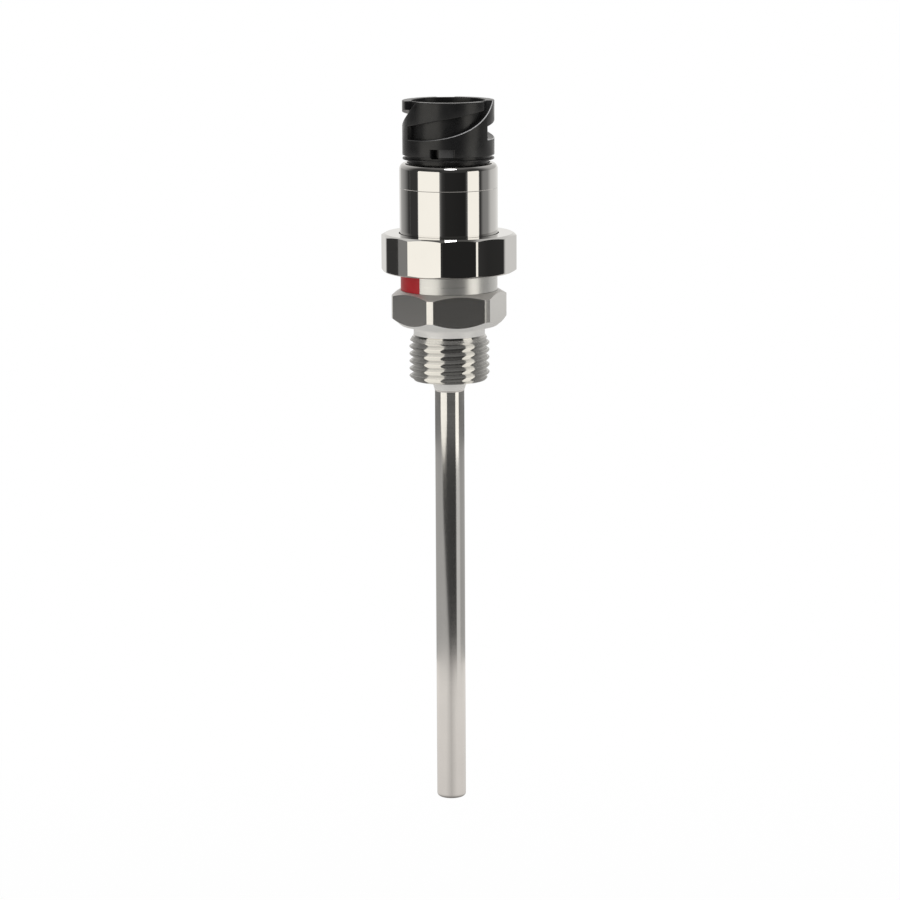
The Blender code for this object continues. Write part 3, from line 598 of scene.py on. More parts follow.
def thread_radius(angle, height):
    """V thread with a rounded crest and root, cut back by the end chamfer and the run-out."""
    crest = THREAD_CREST_AT_LEFT + THREAD_PITCH * (angle + 90.0) / 360.0
    along = abs((height - crest + THREAD_PITCH / 2) % THREAD_PITCH - THREAD_PITCH / 2)
    share = along / (THREAD_PITCH / 2)
    slope = 1.0 / (1.0 - THREAD_CREST_SHARE / 2 - THREAD_ROOT_SHARE / 2)
    if share < THREAD_CREST_SHARE:
        drop = slope * share ** 2 / (2 * THREAD_CREST_SHARE)
    elif share > 1.0 - THREAD_ROOT_SHARE:
        drop = 1.0 - slope * (1.0 - share) ** 2 / (2 * THREAD_ROOT_SHARE)
    else:
        drop = slope * (share - THREAD_CREST_SHARE / 2)
    end_limit = THREAD_RADIUS - THREAD_END_CHAMFER + (height - THREAD_END)
    start_limit = RELIEF_RADIUS + max(0.0, THREAD_START - height) * THREAD_START_SLOPE
    return min(THREAD_RADIUS - THREAD_DEPTH * drop, end_limit, start_limit)


def hex_body_column(angle):
    """Outline of the body, from its top rim down outside and back up through its bores."""
    outer = facet_radius(angle, **HEX)
    neck = LABEL_RADIUS - LABEL_THICKNESS - SEAM
    rows = round((THREAD_START - THREAD_END) / THREAD_ROW)
    fillet = []
    for step in range(CORNER_STEPS + 1):
        turn = math.pi / 2 * step / CORNER_STEPS
        fillet.append((
            RELIEF_RADIUS + RELIEF_FILLET * (1.0 - math.sin(turn)),
            -RELIEF_FILLET * (1.0 - math.cos(turn)),
        ))
    thread = []
    for row in range(rows + 1):
        height = THREAD_START + (THREAD_END - THREAD_START) * row / rows
        thread.append((thread_radius(angle, height), height))
    return [
        (COUNTERBORE_RADIUS, BODY_TOP),
        (PLATE_RADIUS, BODY_TOP),
        (PLATE_RADIUS, BODY_FLANGE_BOTTOM),
        (neck, BODY_FLANGE_BOTTOM),
        (neck, HEX_TOP),
        (HEX_TOP_FACE_RADIUS, HEX_TOP),
        (outer, HEX_TOP - (outer - HEX_TOP_FACE_RADIUS) * HEX_TOP_CHAMFER_SLOPE),
        (outer, (outer - SEALING_FACE_RADIUS) * HEX_BOTTOM_CHAMFER_SLOPE),
        (SEALING_FACE_RADIUS, 0.0),
        *fillet,
        *thread,
        (TUBE_SEAT_RADIUS, THREAD_END),
        (TUBE_SEAT_RADIUS, INSERT_BORE_BOTTOM),
        (INSERT_BORE_RADIUS, INSERT_BORE_BOTTOM),
        (INSERT_BORE_RADIUS, INSERT_BORE_TOP),
        (COUNTERBORE_RADIUS, COUNTERBORE_BOTTOM),
    ]


def make_hex_body(milled, frosted, thread_steel, turned_face):
    """Milled hexagon, turned upper chamfer, blasted underside and relief, and thread on one piece.
    Its materials after the milled one count from 1."""
    angles = facet_angles(face_steps=30, land_steps=6, **HEX)
    body = lathe("hex_body_fine", hex_body_column, angles, milled, FACET_SHARP_ANGLE)
    for material in (frosted, thread_steel, turned_face):
        body.data.materials.append(material)
    for face in body.data.polygons:
        height = face.center.z
        tilted = abs(face.normal.z) > TILT_LIMIT
        if face.center.xy.length < RELIEF_RADIUS - THREAD_DEPTH:
            continue
        if height < THREAD_START:
            face.material_index = 2
        elif height < -TOUCH or (tilted and height < HEX_TOP / 2):
            face.material_index = 1
        elif tilted:
            face.material_index = 3
    dress(body, "hex_body", "sensor")


def nut_column(angle):
    """Outline of the nut, chamfered at both ends, with the shoulder that pulls the sleeve down."""
    outer = facet_radius(angle, **NUT)
    chamfer = (outer - NUT_FACE_RADIUS) * NUT_CHAMFER_SLOPE
    return [
        (SLIDE_RADIUS, NUT_TOP),
        (NUT_FACE_RADIUS, NUT_TOP),
        (outer, NUT_TOP - chamfer),
        (outer, NUT_BOTTOM + chamfer),
        (NUT_FACE_RADIUS, NUT_BOTTOM),
        (NUT_BORE_RADIUS, NUT_BOTTOM),
        (NUT_BORE_RADIUS, NUT_SHOULDER),
        (SLIDE_RADIUS, NUT_SHOULDER),
    ]


def make_union_nut(material):
    angles = facet_angles(face_steps=14, land_steps=3, **NUT)
    nut = lathe("union_nut_fine", nut_column, angles, material, FACET_SHARP_ANGLE)
    dress(nut, "union_nut", "nut")


def make_sleeve(material):
    sleeve = turned("crimp_sleeve_fine", [
        (LIP_BORE_RADIUS, SLEEVE_TOP),
        (SLEEVE_RADIUS, SLEEVE_TOP, SLEEVE_SHOULDER_ARC),
        (SLEEVE_RADIUS, SLEEVE_TOP - SLEEVE_SHOULDER_ARC - ARC_MARGIN),
        (SLEEVE_RADIUS, SLEEVE_LINE + LINE_WIDTH / 2),
        (SLEEVE_RADIUS - LINE_DEPTH, SLEEVE_LINE),
        (SLEEVE_RADIUS, SLEEVE_LINE - LINE_WIDTH / 2),
        (SLEEVE_RADIUS, PLATE_TOP),
        (PLATE_RADIUS, PLATE_TOP),
        (PLATE_RADIUS, PLATE_BOTTOM),
        (INSERT_HOLE_RADIUS, PLATE_BOTTOM),
        (INSERT_HOLE_RADIUS, PLATE_TOP),
        (SLEEVE_BORE_RADIUS, PLATE_TOP),
        (SLEEVE_BORE_RADIUS, SLEEVE_TOP - LIP_THICKNESS),
        (LIP_BORE_RADIUS, SLEEVE_TOP - LIP_THICKNESS),
    ], material, FACET_SHARP_ANGLE)
    dress(sleeve, "crimp_sleeve", "sensor")


def combined(piece, tool, operation):
    """Applies a Boolean of the tool to the piece, then takes the tool away."""
    modifier = piece.modifiers.new("cut", "BOOLEAN")
    modifier.object = tool
    modifier.operation = operation
    graph = bpy.context.evaluated_depsgraph_get()
    result = bpy.data.meshes.new_from_object(piece.evaluated_get(graph), depsgraph=graph)
    piece.modifiers.clear()
    piece.data = result
    bpy.data.objects.remove(tool, do_unlink=True)


def ledge_height(share):
    """Height of a track's ledge at a share of its sweep: it falls from the rim and levels out."""
    return RIM - TRACK_END_DEPTH * (1.0 - (1.0 - share) ** TRACK_LEVELLING)


def tongue_height(share):
    """Height of the tongue's lower edge over the track, from its tip to its root."""
    mouth = TRACK_MOUTH_ANGLE / TRACK_SWEEP_ANGLE
    along = (share - mouth) / (1.0 - mouth)
    return RIM - TONGUE_TIP_DEPTH - (TRACK_END_DEPTH - TRACK_END_HEIGHT - TONGUE_TIP_DEPTH) * along


def stepped(distance_angle, deep, outer, edge_radius):
    """Radius beside the end wall of a cut: deep up to the wall, then the wall's rounded edge."""
    distance = math.radians(distance_angle) * edge_radius
    if distance <= 0.0:
        return deep
    if distance >= SHELL_EDGE:
        return outer
    return outer - SHELL_EDGE + math.sqrt(SHELL_EDGE ** 2 - (SHELL_EDGE - distance) ** 2)


def window_radius(angle):
    """Radius in the latch window's rows: its pit at the left, then its spring tab."""
    left, tab_left, right = WINDOW_ANGLES
    if angle <= tab_left:
        return stepped(left - angle, WINDOW_PIT_RADIUS, SHELL_RADIUS, SHELL_RADIUS)
    if angle <= right:
        return stepped(angle - tab_left, WINDOW_PIT_RADIUS, WINDOW_TAB_RADIUS, SHELL_RADIUS)
    return stepped(angle - right, WINDOW_TAB_RADIUS, SHELL_RADIUS, SHELL_RADIUS)


def key_radius(angle):
    """Radius of the socket's wall, less where the plug's key stands in from it."""
    inside = KEY_HALF_ANGLE - abs(angle % 360.0 - KEY_ANGLE)
    mirrored = 2 * SOCKET_RADIUS - KEY_INNER_RADIUS
    return 2 * SOCKET_RADIUS - stepped(inside, SOCKET_RADIUS, mirrored, SOCKET_RADIUS)


def corner_points(entries):
    """Points of an outline whose entries are (radius, height, arc) corners. "before" repeats the point
    before it and "after" the point after it, so that every column has as many points."""
    corners = [Vector(entry[:2]) for entry in entries if not isinstance(entry, str)]
    points = []
    index = -1
    for entry in entries:
        if isinstance(entry, str):
            points.append(entry)
            continue
        index += 1
        arc = entry[2]
        here = corners[index]
        if arc == 0.0:
            points.append(here)
            continue
        neighbours = []
        for side in (-1, 1):
            steps = range(1, len(corners))
            around = (corners[(index + side * step) % len(corners)] - here for step in steps)
            neighbours.append(next(gap for gap in around if gap.length > WELD_DISTANCE))
        room = min(neighbour.length for neighbour in neighbours) * ARC_ROOM_SHARE
        before, after = (neighbour.normalized() for neighbour in neighbours)
        half = before.angle(after) / 2
        if not ARC_HALF_ANGLES[0] <= math.degrees(half) <= ARC_HALF_ANGLES[1]:
            points.extend([here] * ARC_POINTS)
            continue
        points.extend(arc_points(here, before, after, min(arc, room * math.tan(half)), SHELL_ARC_STEPS))
    for index, point in enumerate(points):
        if isinstance(point, str) and point == "before":
            points[index] = points[index - 1]
    for index in range(len(points) - 1, -1, -1):
        if isinstance(points[index], str):
            points[index] = points[index + 1]
    return points


def track_entries(along):
    """Corners of a track's cut: the tongue's lower edge, the track's floor and the ledge's edge."""
    floor = stepped(along - TRACK_SWEEP_ANGLE, TRACK_FLOOR_RADIUS, SHELL_RADIUS, SHELL_RADIUS)
    share = min(along / TRACK_SWEEP_ANGLE, 1.0)
    ledge = ledge_height(share)
    tongue = tongue_height(share) if along > TRACK_MOUTH_ANGLE else (RIM + ledge) / 2
    outer = stepped(along - TRACK_MOUTH_ANGLE, TRACK_FLOOR_RADIUS, SHELL_RADIUS, SHELL_RADIUS)
    return [
        (outer, tongue, SHELL_EDGE),
        (floor, tongue, 0.0),
        (floor, ledge, 0.0),
        (SHELL_RADIUS, ledge, SHELL_EDGE),
    ]


def shell_column(angle, along, switched):
    """Outline of the receptacle at an angle, which lies along degrees down one track from its start.
    The track is the column's first cut, or once switched its second; the second is the end of the
    track before while the first one starts."""
    if switched:
        rim_outer = SHELL_RADIUS
        first = ["before"] * TRACK_POINTS
        second = track_entries(along)
    else:
        rim_outer = stepped(along - TRACK_MOUTH_ANGLE, TRACK_FLOOR_RADIUS, SHELL_RADIUS, SHELL_RADIUS)
        first = track_entries(along)
        edge = math.degrees(SHELL_EDGE / SHELL_RADIUS)
        before_end = along + TRACK_SPACING <= TRACK_SWEEP_ANGLE + edge
        second = track_entries(along + TRACK_SPACING) if before_end else ["after"] * TRACK_POINTS
    rim_middle = (TRACK_FLOOR_RADIUS, RIM, 0.0) if rim_outer == SHELL_RADIUS else "after"
    key = key_radius(angle)
    window = window_radius(angle)
    groove_top = WINDOW_BOTTOM if window < GROOVE_RADIUS else CUP_BOTTOM
    return corner_points([
        (0.0, SOCKET_FLOOR, 0.0),
        (key, SOCKET_FLOOR, SHELL_EDGE),
        (key, KEY_TOP, 0.0),
        (SOCKET_RADIUS, KEY_TOP, 0.0),
        (SOCKET_RADIUS, RIM, SHELL_EDGE),
        rim_middle,
        (rim_outer, RIM, SHELL_EDGE),
        *first,
        *second,
        (SHELL_RADIUS, WINDOW_TOP, 0.0),
        (window, WINDOW_TOP, 0.0),
        (window, groove_top, SHELL_EDGE / 2),
        (GROOVE_RADIUS, groove_top, 0.0),
        (GROOVE_RADIUS, COLLAR_TOP, 0.0),
        (COLLAR_RADIUS, COLLAR_TOP, SHELL_EDGE / 2),
        (COLLAR_RADIUS, COLLAR_BOTTOM, SHELL_EDGE / 2),
        (NECK_RADIUS, COLLAR_BOTTOM, 0.0),
        (NECK_RADIUS, CRIMP_TOP, 0.0),
        (CRIMP_RADIUS, CRIMP_TOP, 0.0),
        (CRIMP_RADIUS, CRIMP_BOTTOM, 0.0),
        (SHELL_SPIGOT_RADIUS, CRIMP_BOTTOM, 0.0),
        (SHELL_SPIGOT_RADIUS, SHELL_BOTTOM, 0.0),
        (SHELL_CAVITY_RADIUS, SHELL_BOTTOM, 0.0),
        (SHELL_CAVITY_RADIUS, SOCKET_UNDERSIDE, 0.0),
        (0.0, SOCKET_UNDERSIDE, 0.0),
    ])


def shell_alongs():
    """Column places along a third of a turn: every degree, and close together at each end wall."""
    edge = math.degrees(SHELL_EDGE / SHELL_RADIUS)
    places = {float(degree) for degree in range(round(TRACK_SPACING) + 1)}
    key = TRACK_START_ANGLE + TRACK_SPACING - KEY_ANGLE
    walls = [TRACK_MOUTH_ANGLE, TRACK_SWEEP_ANGLE - TRACK_SPACING]
    walls += [key - KEY_HALF_ANGLE, key + KEY_HALF_ANGLE]
    walls += [TRACK_START_ANGLE - angle for angle in WINDOW_ANGLES]
    for wall in walls:
        for share in (0.0, 0.1, 0.3, 0.6, 1.0):
            for side in (-1, 1):
                places.add(wall + side * max(edge * share, JUMP_ANGLE))
    return sorted(place for place in places if 0.0 <= place <= TRACK_SPACING)


def pin_places():
    """Places of the four pins about the axis."""
    return [direction(45.0 + 90.0 * index) * PIN_CIRCLE_RADIUS for index in range(4)]


def make_connector_shell(material, edge_highlight_plastic, tab_sheen_plastic):
    """Moulded receptacle: columns from run to run, welded where the runs meet, then the pins' holes."""
    alongs = shell_alongs()
    mesh_tool = bmesh.new()
    for index in range(TRACK_COUNT):
        start = TRACK_START_ANGLE + index * TRACK_SPACING
        for switched in (False, True):
            run = []
            for along in alongs:
                if along != TRACK_SWITCH_ANGLE and (along > TRACK_SWITCH_ANGLE) != switched:
                    continue
                angle = (start - along + 180.0) % 360.0 - 180.0
                out = direction(angle)
                run.append((angle, [
                    mesh_tool.verts.new(out * radius + Vector((0, 0, height)))
                    for radius, height in shell_column(angle, along, switched)
                ]))
            for (angle, here), (next_angle, after) in zip(run, run[1:]):
                on_tab = WINDOW_ANGLES[1] < (angle + next_angle) / 2 < WINDOW_ANGLES[2]
                for row in range(len(here) - 1):
                    face = mesh_tool.faces.new((here[row], after[row], after[row + 1], here[row + 1]))
                    # Painted highlight on the ledges' rounded edges
                    if row in LEDGE_EDGE_ROWS:
                        face.material_index = 1
                    # Painted sheen on the latch tab's face, in a lighter copy of the shell plastic
                    elif on_tab and row == WINDOW_FACE_ROW:
                        face.material_index = 2
    bmesh.ops.remove_doubles(mesh_tool, verts=mesh_tool.verts, dist=WELD_DISTANCE)
    bmesh.ops.dissolve_degenerate(mesh_tool, edges=mesh_tool.edges, dist=WELD_DISTANCE / 10)
    shell = object_from("connector_shell_fine", mesh_tool, material, SHELL_SHARP_ANGLE)
    shell.data.materials.append(edge_highlight_plastic)
    shell.data.materials.append(tab_sheen_plastic)
    for place in pin_places():
        hole = turned("hole", [
            (0.0, SOCKET_UNDERSIDE - PIN_HOLE_OVERRUN),
            (PIN_HOLE_RADIUS, SOCKET_UNDERSIDE - PIN_HOLE_OVERRUN),
            (PIN_HOLE_RADIUS, SOCKET_FLOOR + PIN_HOLE_OVERRUN),
            (0.0, SOCKET_FLOOR + PIN_HOLE_OVERRUN),
        ], None, steps=PIN_STEPS)
        hole.data.transform(Matrix.Translation(place))
        combined(shell, hole, "DIFFERENCE")
    shell.data.shade_smooth()
    shell.data.set_sharp_from_angle(angle=math.radians(SHELL_SHARP_ANGLE))
    dress(shell, "connector_shell", "sensor")


def make_pins(material):
    for number, place in enumerate(pin_places(), start=1):
        pin = turned(f"contact_pin_{number}_fine", [
            (0.0, PIN_TIP),
            (PIN_RADIUS, PIN_TIP, PIN_TIP_ARC),
            (PIN_RADIUS, PIN_COLLAR_TOP),
            (PIN_COLLAR_RADIUS, PIN_COLLAR_TOP),
            (PIN_COLLAR_RADIUS, PIN_COLLAR_BOTTOM),
            (PIN_TAIL_RADIUS, PIN_COLLAR_BOTTOM),
            (PIN_TAIL_RADIUS, PIN_TAIL_END),
            (0.0, PIN_TAIL_END),
        ], material, steps=PIN_STEPS)
        pin.data.transform(Matrix.Translation(place))
        dress(pin, f"contact_pin_{number}", "sensor")


def make_label_band(foil, red):
    """Foil strip round the neck, with a plain red field at its left."""
    low = HEX_TOP + SEAM
    high = NUT_BOTTOM - SEAM
    half = (360.0 - LABEL_SEAM_ANGLE) / 2
    steps = TURN_STEPS
    angles = [-half + 2 * half * index / steps for index in range(steps + 1)]
    inner = LABEL_RADIUS - LABEL_THICKNESS
    mesh_tool = bmesh.new()
    sections = []
    for angle in angles:
        out = direction(angle)
        corners = [(inner, low), (LABEL_RADIUS, low), (LABEL_RADIUS, high), (inner, high)]
        sections.append([mesh_tool.verts.new(out * r + Vector((0, 0, z))) for r, z in corners])
    for index, (here, after) in enumerate(zip(sections, sections[1:])):
        middle = (angles[index] + angles[index + 1]) / 2
        for side in range(4):
            following = (side + 1) % 4
            face = mesh_tool.faces.new((here[side], after[side], after[following], here[following]))
            face.material_index = int(LABEL_RED_FROM < middle < LABEL_RED_TO)
    mesh_tool.faces.new(sections[0])
    mesh_tool.faces.new(sections[-1])
    band = object_from("label_band_fine", mesh_tool, foil)
    band.data.materials.append(red)
    dress(band, "label_band", "sensor")


def make_tube(material, frosted):
    """Closed tube, welded to the body by a blasted bead."""
    bead_top = THREAD_END - SEAM
    tube = turned("protection_tube_fine", [
        (0.0, TUBE_FLOOR),
        (TUBE_BORE_RADIUS, TUBE_FLOOR, TUBE_FLOOR_ARC),
        (TUBE_BORE_RADIUS, TUBE_TOP),
        (TUBE_RADIUS, TUBE_TOP),
        (TUBE_RADIUS, bead_top),
        (BEAD_RADIUS, bead_top),
        (TUBE_RADIUS, bead_top - BEAD_LENGTH, BEAD_LENGTH / 2),
        (TUBE_RADIUS, bead_top - 2 * BEAD_LENGTH),
        (TUBE_RADIUS, TUBE_TIP + TUBE_TIP_ARC + 2 * ARC_MARGIN),
        (TUBE_RADIUS, TUBE_TIP, TUBE_TIP_ARC),
        (0.0, TUBE_TIP),
    ], material, FACET_SHARP_ANGLE, steps=TUBE_STEPS)
    tube.data.materials.append(frosted)
    for face in tube.data.polygons:
        outside = face.center.xy.length > TUBE_RADIUS - TOUCH
        if outside and bead_top - BEAD_LENGTH * 0.9 < face.center.z < bead_top + TOUCH:
            face.material_index = 1
    dress(tube, "protection_tube", "sensor")


# Stage

# Levels of the dark studio round the sensor by azimuth from the front, negative to the left, as
# polished metal shows them: level with the sensor, below the panels' lower edges, and overhead
STUDIO_RING = [
    (-180, 0.80), (-168, 0.74), (-154, 0.72), (-148, 0.42), (-125, 0.24), (-113, 0.10), (-108, 0.038),
    (-79, 0.038), (-75.5, 0.30), (-75.2, 0.0), (-21.8, 0.0), (-21.5, 0.32), (-18.5, 0.09), (-14, 0.036),
    (-7, 0.020), (38, 0.016), (42, 0.05), (45, 0.26), (45.3, 0.0), (74.7, 0.0), (75, 0.30), (78.2, 0.024),
    (79.4, 0.024), (82, 0.075), (88, 0.21), (104, 0.25), (117, 0.54), (140, 0.66), (160, 0.80), (180, 0.80),
]
MIDDLE_RING = [
    (-180, 0.55), (-120, 0.36), (-90, 0.22), (-76, 0.12), (-20, 0.020), (44, 0.016), (76, 0.12),
    (88, 0.20), (110, 0.30), (130, 0.45), (180, 0.55),
]
LOWER_RING = [
    (-180, 0.55), (-120, 0.42), (-95, 0.30), (-75, 0.26), (-62, 0.16), (-52, 0.055), (38, 0.050),
    (46, 0.10), (54, 0.62), (76, 0.62), (90, 0.40), (130, 0.42), (180, 0.55),
]
UPPER_RING = [
    (-180, 0.90), (-165, 0.70), (-150, 0.55), (-128, 0.36), (-105, 0.10), (-95, 0.04), (85, 0.04),
    (100, 0.16), (125, 0.42), (150, 0.50), (165, 0.70), (180, 0.90),
]
LEDGE_AZIMUTHS = (-102.98, -102.5)
LEDGE_LEVEL = 0.22
MIDDLE_RING_EDGE = (-8.9, -9.5)
LOWER_RING_EDGE = (-10.85, -11.05)
PALE_BAND_EDGE = (-9.93, -10.10)
PALE_BAND_LEVEL = 0.20
WEDGE_LEVEL = 0.44
WEDGE_TOP = (-12.0, -62.0)
WEDGE_BOTTOM = (-15.6, 0.0)
WEDGE_SOFTNESS = 10.0
UPPER_RING_EDGE = (4.0, 9.0)
ZENITH_EDGE = (45.0, 75.0)
ZENITH_LEVEL = 0.14
STUDIO_TINT = (1.0, 0.985, 0.955)
EVEN_LEVEL = 0.62

# Lamps
PANEL_DISTANCE = 0.9
PANEL_TOP = 0.30
PANEL_COLOR = (1.0, 0.965, 0.885)
SPOT_TARGET = (0.0, 0.0, 20.0 * MM)

# Glow of the floor to polished metal, by distance from the middle and to the sides, and the share of
# the floor that the camera sees as white
FLOOR_STEPS = 96
GLOW_COLOR = (1.0, 0.955, 0.91)
GLOW_RADII = (0.3, FLOOR_RADIUS)
GLOW_LEVELS = (0.30, 0.78)
GLOW_SIDE_REACH = 1.8
GLOW_SIDE_SHARES = (0.86, 1.18)
WHITE_RADII = (1.2, 2.6)
WHITE_SHARES = (0.95, 1.0)


def look_at(thing, target):
    thing.rotation_euler = (Vector(target) - thing.location).to_track_quat("-Z", "Y").to_euler()


def make_camera():
    data = bpy.data.cameras.new("camera")
    camera = bpy.data.objects.new("camera", data)
    bpy.context.scene.collection.objects.link(camera)
    target = Vector((0, 0, VIEW_TARGET_HEIGHT))
    camera.location = target + Vector((0, -VIEW_LEVEL_DISTANCE, VIEW_ABOVE_TARGET))
    look_at(camera, target)
    camera.rotation_euler.rotate_axis("Z", math.radians(VIEW_ROLL))
    distance = (camera.location - target).length
    focal_pixels = VIEW_PIXELS_PER_MM * distance / MM
    data.sensor_width = SENSOR_WIDTH
    data.lens = SENSOR_WIDTH * focal_pixels / IMAGE_SIZE
    data.shift_x = (IMAGE_SIZE / 2 - TARGET_PIXEL[0]) / IMAGE_SIZE
    data.shift_y = (TARGET_PIXEL[1] - IMAGE_SIZE / 2) / IMAGE_SIZE
    bpy.context.scene.camera = camera


def make_spot(name, azimuth, elevation, distance, diameter, strength):
    """Small round lamp up high, for the glints on rounded edges."""
    data = bpy.data.lights.new(name, "AREA")
    data.shape = "DISK"
    data.size = diameter
    data.energy = strength * math.pi * (diameter / 2) ** 2 * math.pi
    spot = bpy.data.objects.new(name, data)
    bpy.context.scene.collection.objects.link(spot)
    rise = math.radians(elevation)
    level = direction(azimuth) * math.cos(rise)
    spot.location = (level + Vector((0, 0, math.sin(rise)))) * distance
    look_at(spot, SPOT_TARGET)
    spot.visible_camera = False


def make_panel(name, azimuth, width_angle, low, strength):
    """Soft panel lamp at an azimuth from the front, as wide as an angle seen from the sensor."""
    data = bpy.data.lights.new(name, "AREA")
    data.shape = "RECTANGLE"
    data.size = 2 * PANEL_DISTANCE * math.tan(math.radians(width_angle / 2))
    data.size_y = PANEL_TOP - low
    data.color = PANEL_COLOR
    data.energy = strength * data.size * data.size_y * math.pi
    panel = bpy.data.objects.new(name, data)
    bpy.context.scene.collection.objects.link(panel)
    middle = Vector((0, 0, (low + PANEL_TOP) / 2))
    panel.location = direction(azimuth) * PANEL_DISTANCE + middle
    look_at(panel, middle)
    panel.visible_camera = False


def studio_tint(level):
    return tuple(level * share for share in STUDIO_TINT)


def ring_ramp(tree, share, stops):
    """Colour of the studio along a share of a turn, from (azimuth, level) stops."""
    colors = [((azimuth + 180.0) / 360.0, studio_tint(level)) for azimuth, level in stops]
    return color_ramp(tree, share, colors)


def rising(tree, height, start, end):
    """0 to 1 as a direction's elevation goes from start to end degrees."""
    ends = (math.sin(math.radians(start)), math.sin(math.radians(end)))
    return mapped(tree, height, ends, interpolation="SMOOTHSTEP")


def mixed(tree, factor, first, second):
    """Mixes two colours by a socket; the second may be a plain level."""
    node = tree.nodes.new("ShaderNodeMix")
    node.data_type = "RGBA"
    tree.links.new(factor, node.inputs["Factor"])
    tree.links.new(first, node.inputs["A"])
    if isinstance(second, float):
        node.inputs["B"].default_value = (*studio_tint(second), 1.0)
    else:
        tree.links.new(second, node.inputs["B"])
    return node.outputs["Result"]


def mixed_shader(tree, factor, first, second):
    """Mixes two shaders by a socket."""
    node = tree.nodes.new("ShaderNodeMixShader")
    for socket, source in zip(node.inputs, (factor, first, second)):
        tree.links.new(source, socket)
    return node.outputs["Shader"]


def make_world():
    """White to the camera, an even light to matt surfaces, a dark studio with a pale back to gloss."""
    world = bpy.data.worlds.new("studio")
    bpy.context.scene.world = world
    world.use_nodes = True
    tree = world.node_tree
    axes = axes_of(tree, "Generated")
    height = axes["Z"]
    azimuth = azimuth_of(tree, axes)
    share = math_node(tree, "MULTIPLY_ADD", azimuth, 0.5 / math.pi, 0.5)
    ledge_left, ledge_right = (math.radians(value) for value in LEDGE_AZIMUTHS)
    past_left = math_node(tree, "GREATER_THAN", azimuth, ledge_left)
    on_ledge = math_node(tree, "MULTIPLY", past_left, math_node(tree, "LESS_THAN", azimuth, ledge_right))
    wedge_heights = [math.sin(math.radians(elevation)) for elevation, _ in (WEDGE_TOP, WEDGE_BOTTOM)]
    wedge_azimuths = [math.radians(corner) for _, corner in (WEDGE_TOP, WEDGE_BOTTOM)]
    past_edge = math_node(tree, "SUBTRACT", mapped(tree, height, wedge_heights, wedge_azimuths), azimuth)
    softness = math.radians(WEDGE_SOFTNESS)
    wedge = mapped(tree, past_edge, (-softness / 2, softness / 2))

    studio = mixed(tree, on_ledge, ring_ramp(tree, share, STUDIO_RING), LEDGE_LEVEL)
    middle = ring_ramp(tree, share, MIDDLE_RING)
    studio = mixed(tree, rising(tree, height, *MIDDLE_RING_EDGE), studio, middle)
    studio = mixed(tree, rising(tree, height, *PALE_BAND_EDGE), studio, PALE_BAND_LEVEL)
    lower = mixed(tree, wedge, ring_ramp(tree, share, LOWER_RING), WEDGE_LEVEL)
    studio = mixed(tree, rising(tree, height, *LOWER_RING_EDGE), studio, lower)
    upper = ring_ramp(tree, share, UPPER_RING)
    studio = mixed(tree, rising(tree, height, *UPPER_RING_EDGE), studio, upper)
    studio = mixed(tree, rising(tree, height, *ZENITH_EDGE), studio, ZENITH_LEVEL)

    gloss = tree.nodes["Background"]
    tree.links.new(studio, gloss.inputs["Color"])
    even = added(tree, "ShaderNodeBackground", Color=(EVEN_LEVEL, EVEN_LEVEL, EVEN_LEVEL, 1.0))
    white = added(tree, "ShaderNodeBackground", Color=(1.0, 1.0, 1.0, 1.0))
    path = tree.nodes.new("ShaderNodeLightPath")
    glossy = path.outputs["Is Glossy Ray"]
    lit = mixed_shader(tree, glossy, even.outputs["Background"], gloss.outputs["Background"])
    seen = mixed_shader(tree, path.outputs["Is Camera Ray"], lit, white.outputs["Background"])
    tree.links.new(seen, tree.nodes["World Output"].inputs["Surface"])


def make_floor():
    """Pale floor well below the sensor, white to the camera but for a share that takes shadows."""
    mesh_tool = bmesh.new()
    bmesh.ops.create_circle(mesh_tool, cap_ends=True, segments=FLOOR_STEPS, radius=FLOOR_RADIUS)
    floor = object_from("floor", mesh_tool, None)
    floor.location = (0, 0, FLOOR_HEIGHT)
    material, tree, shader = node_material("floor_paper", (0.86, 0.86, 0.85), roughness=0.9, metallic=0.0)
    place = tree.nodes.new("ShaderNodeTexCoord")
    length = tree.nodes.new("ShaderNodeVectorMath")
    length.operation = "LENGTH"
    tree.links.new(place.outputs["Object"], length.inputs[0])
    distance = length.outputs["Value"]
    side = math_node(tree, "ABSOLUTE", axes_of(tree, "Object")["X"])
    outward = mapped(tree, distance, GLOW_RADII, GLOW_LEVELS)
    sideways = mapped(tree, side, (0.0, GLOW_SIDE_REACH), GLOW_SIDE_SHARES)
    glow = added(tree, "ShaderNodeEmission", Color=(*GLOW_COLOR, 1.0))
    tree.links.new(math_node(tree, "MULTIPLY", outward, sideways), glow.inputs["Strength"])
    white = tree.nodes.new("ShaderNodeEmission")
    path = tree.nodes.new("ShaderNodeLightPath")
    glossy = path.outputs["Is Glossy Ray"]
    lit = mixed_shader(tree, glossy, shader.outputs["BSDF"], glow.outputs["Emission"])
    white_share = mapped(tree, distance, WHITE_RADII, WHITE_SHARES)
    to_camera = math_node(tree, "MULTIPLY", path.outputs["Is Camera Ray"], white_share)
    seen = mixed_shader(tree, to_camera, lit, white.outputs["Emission"])
    tree.links.new(seen, tree.nodes["Material Output"].inputs["Surface"])
    floor.data.materials.append(material)


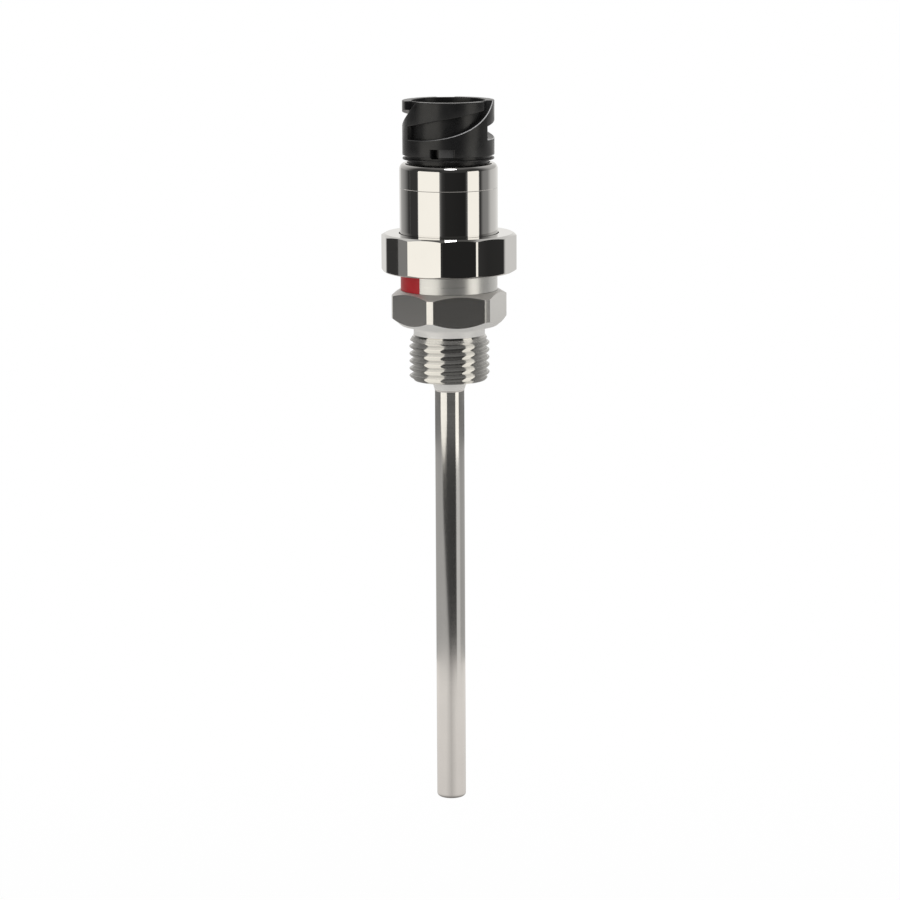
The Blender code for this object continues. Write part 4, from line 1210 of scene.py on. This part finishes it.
def dress_inner_nodes():
    """The CAD nodes that stay: a finish for each."""
    finishes = [
        ("grey_plastic", (0.20, 0.20, 0.19), 0.5, 0.0, ["contact_carrier", "support_sleeve"]),
        ("resin", (0.05, 0.04, 0.03), 0.3, 0.0, ["potting_plug", "insert_end_seal"]),
        ("rubber", (0.015, 0.015, 0.015), 0.7, 0.0, ["connector_seal", "insert_gasket"]),
        ("ceramic", (0.82, 0.80, 0.74), 0.45, 0.0, ["sensing_element", "insulator_rod"]),
        ("tinned_wire", (0.64, 0.60, 0.54), 0.3, 1.0, [f"lead_wire_{number}" for number in range(1, 5)]),
        ("inner_steel", (0.52, 0.51, 0.49), 0.3, 1.0, ["nut_slip_ring", "insert_tube", "insert_ferrule"]),
    ]
    for name, color, roughness, metallic, nodes in finishes:
        material = plain_inner(name, color, roughness, metallic)
        for node in nodes:
            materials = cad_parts[node].data.materials
            materials.clear()
            materials.append(material)


make_camera()
make_world()
make_floor()
make_panel("left_panel", azimuth=-48.5, width_angle=54.0, low=-0.213, strength=1.07)
make_panel("right_panel", azimuth=60.0, width_angle=29.5, low=-0.215, strength=1.06)
make_spot("top_lamp", azimuth=8.0, elevation=66.0, distance=1.0, diameter=0.36, strength=5.0)

polished = polished_metal()
milled = milled_metal()
frosted = frosted_metal()
thread_steel = thread_metal()
tube_steel = turned_metal(
    "tube_steel", (0.76, 0.75, 0.735), (0.70, 0.69, 0.675),
    roughness=0.07, rough_spread=0.02, line_scale=7000.0, line_strength=0.0015,
)
shell_plastic = plastic("shell_plastic", (0.0100, 0.0101, 0.0106), (0.0140, 0.0140, 0.0146), 0.30)
foil = turned_metal(
    "label_foil", (0.84, 0.84, 0.82), (0.80, 0.80, 0.78),
    roughness=0.30, rough_spread=0.03, line_scale=3000.0, line_strength=0.03, metallic=0.9,
)
red = plain_inner("label_red", (0.52, 0.006, 0.014), 0.38, 0.0)
turned_face = turned_metal(
    "turned_face", (0.86, 0.85, 0.83), (0.80, 0.79, 0.77),
    roughness=0.42, rough_spread=0.04, line_scale=3000.0, line_strength=0.03, metallic=0.85,
)
contact_metal = plain_inner("contact_metal", (0.80, 0.62, 0.28), 0.22, 1.0)
# Painted highlight for the ledges' rounded edges
edge_highlight_plastic = painted_edge_highlight()
# Lighter copy of the shell plastic, which paints the sheen on the latch tab's face
tab_sheen_plastic = plastic("tab_sheen_plastic", (0.054, 0.054, 0.055), (0.062, 0.062, 0.063), 0.30)
make_connector_shell(shell_plastic, edge_highlight_plastic, tab_sheen_plastic)
make_pins(contact_metal)
make_sleeve(polished)
make_union_nut(polished)
make_label_band(foil, red)
make_hex_body(milled, frosted, thread_steel, turned_face)
make_tube(tube_steel, frosted)
dress_inner_nodes()
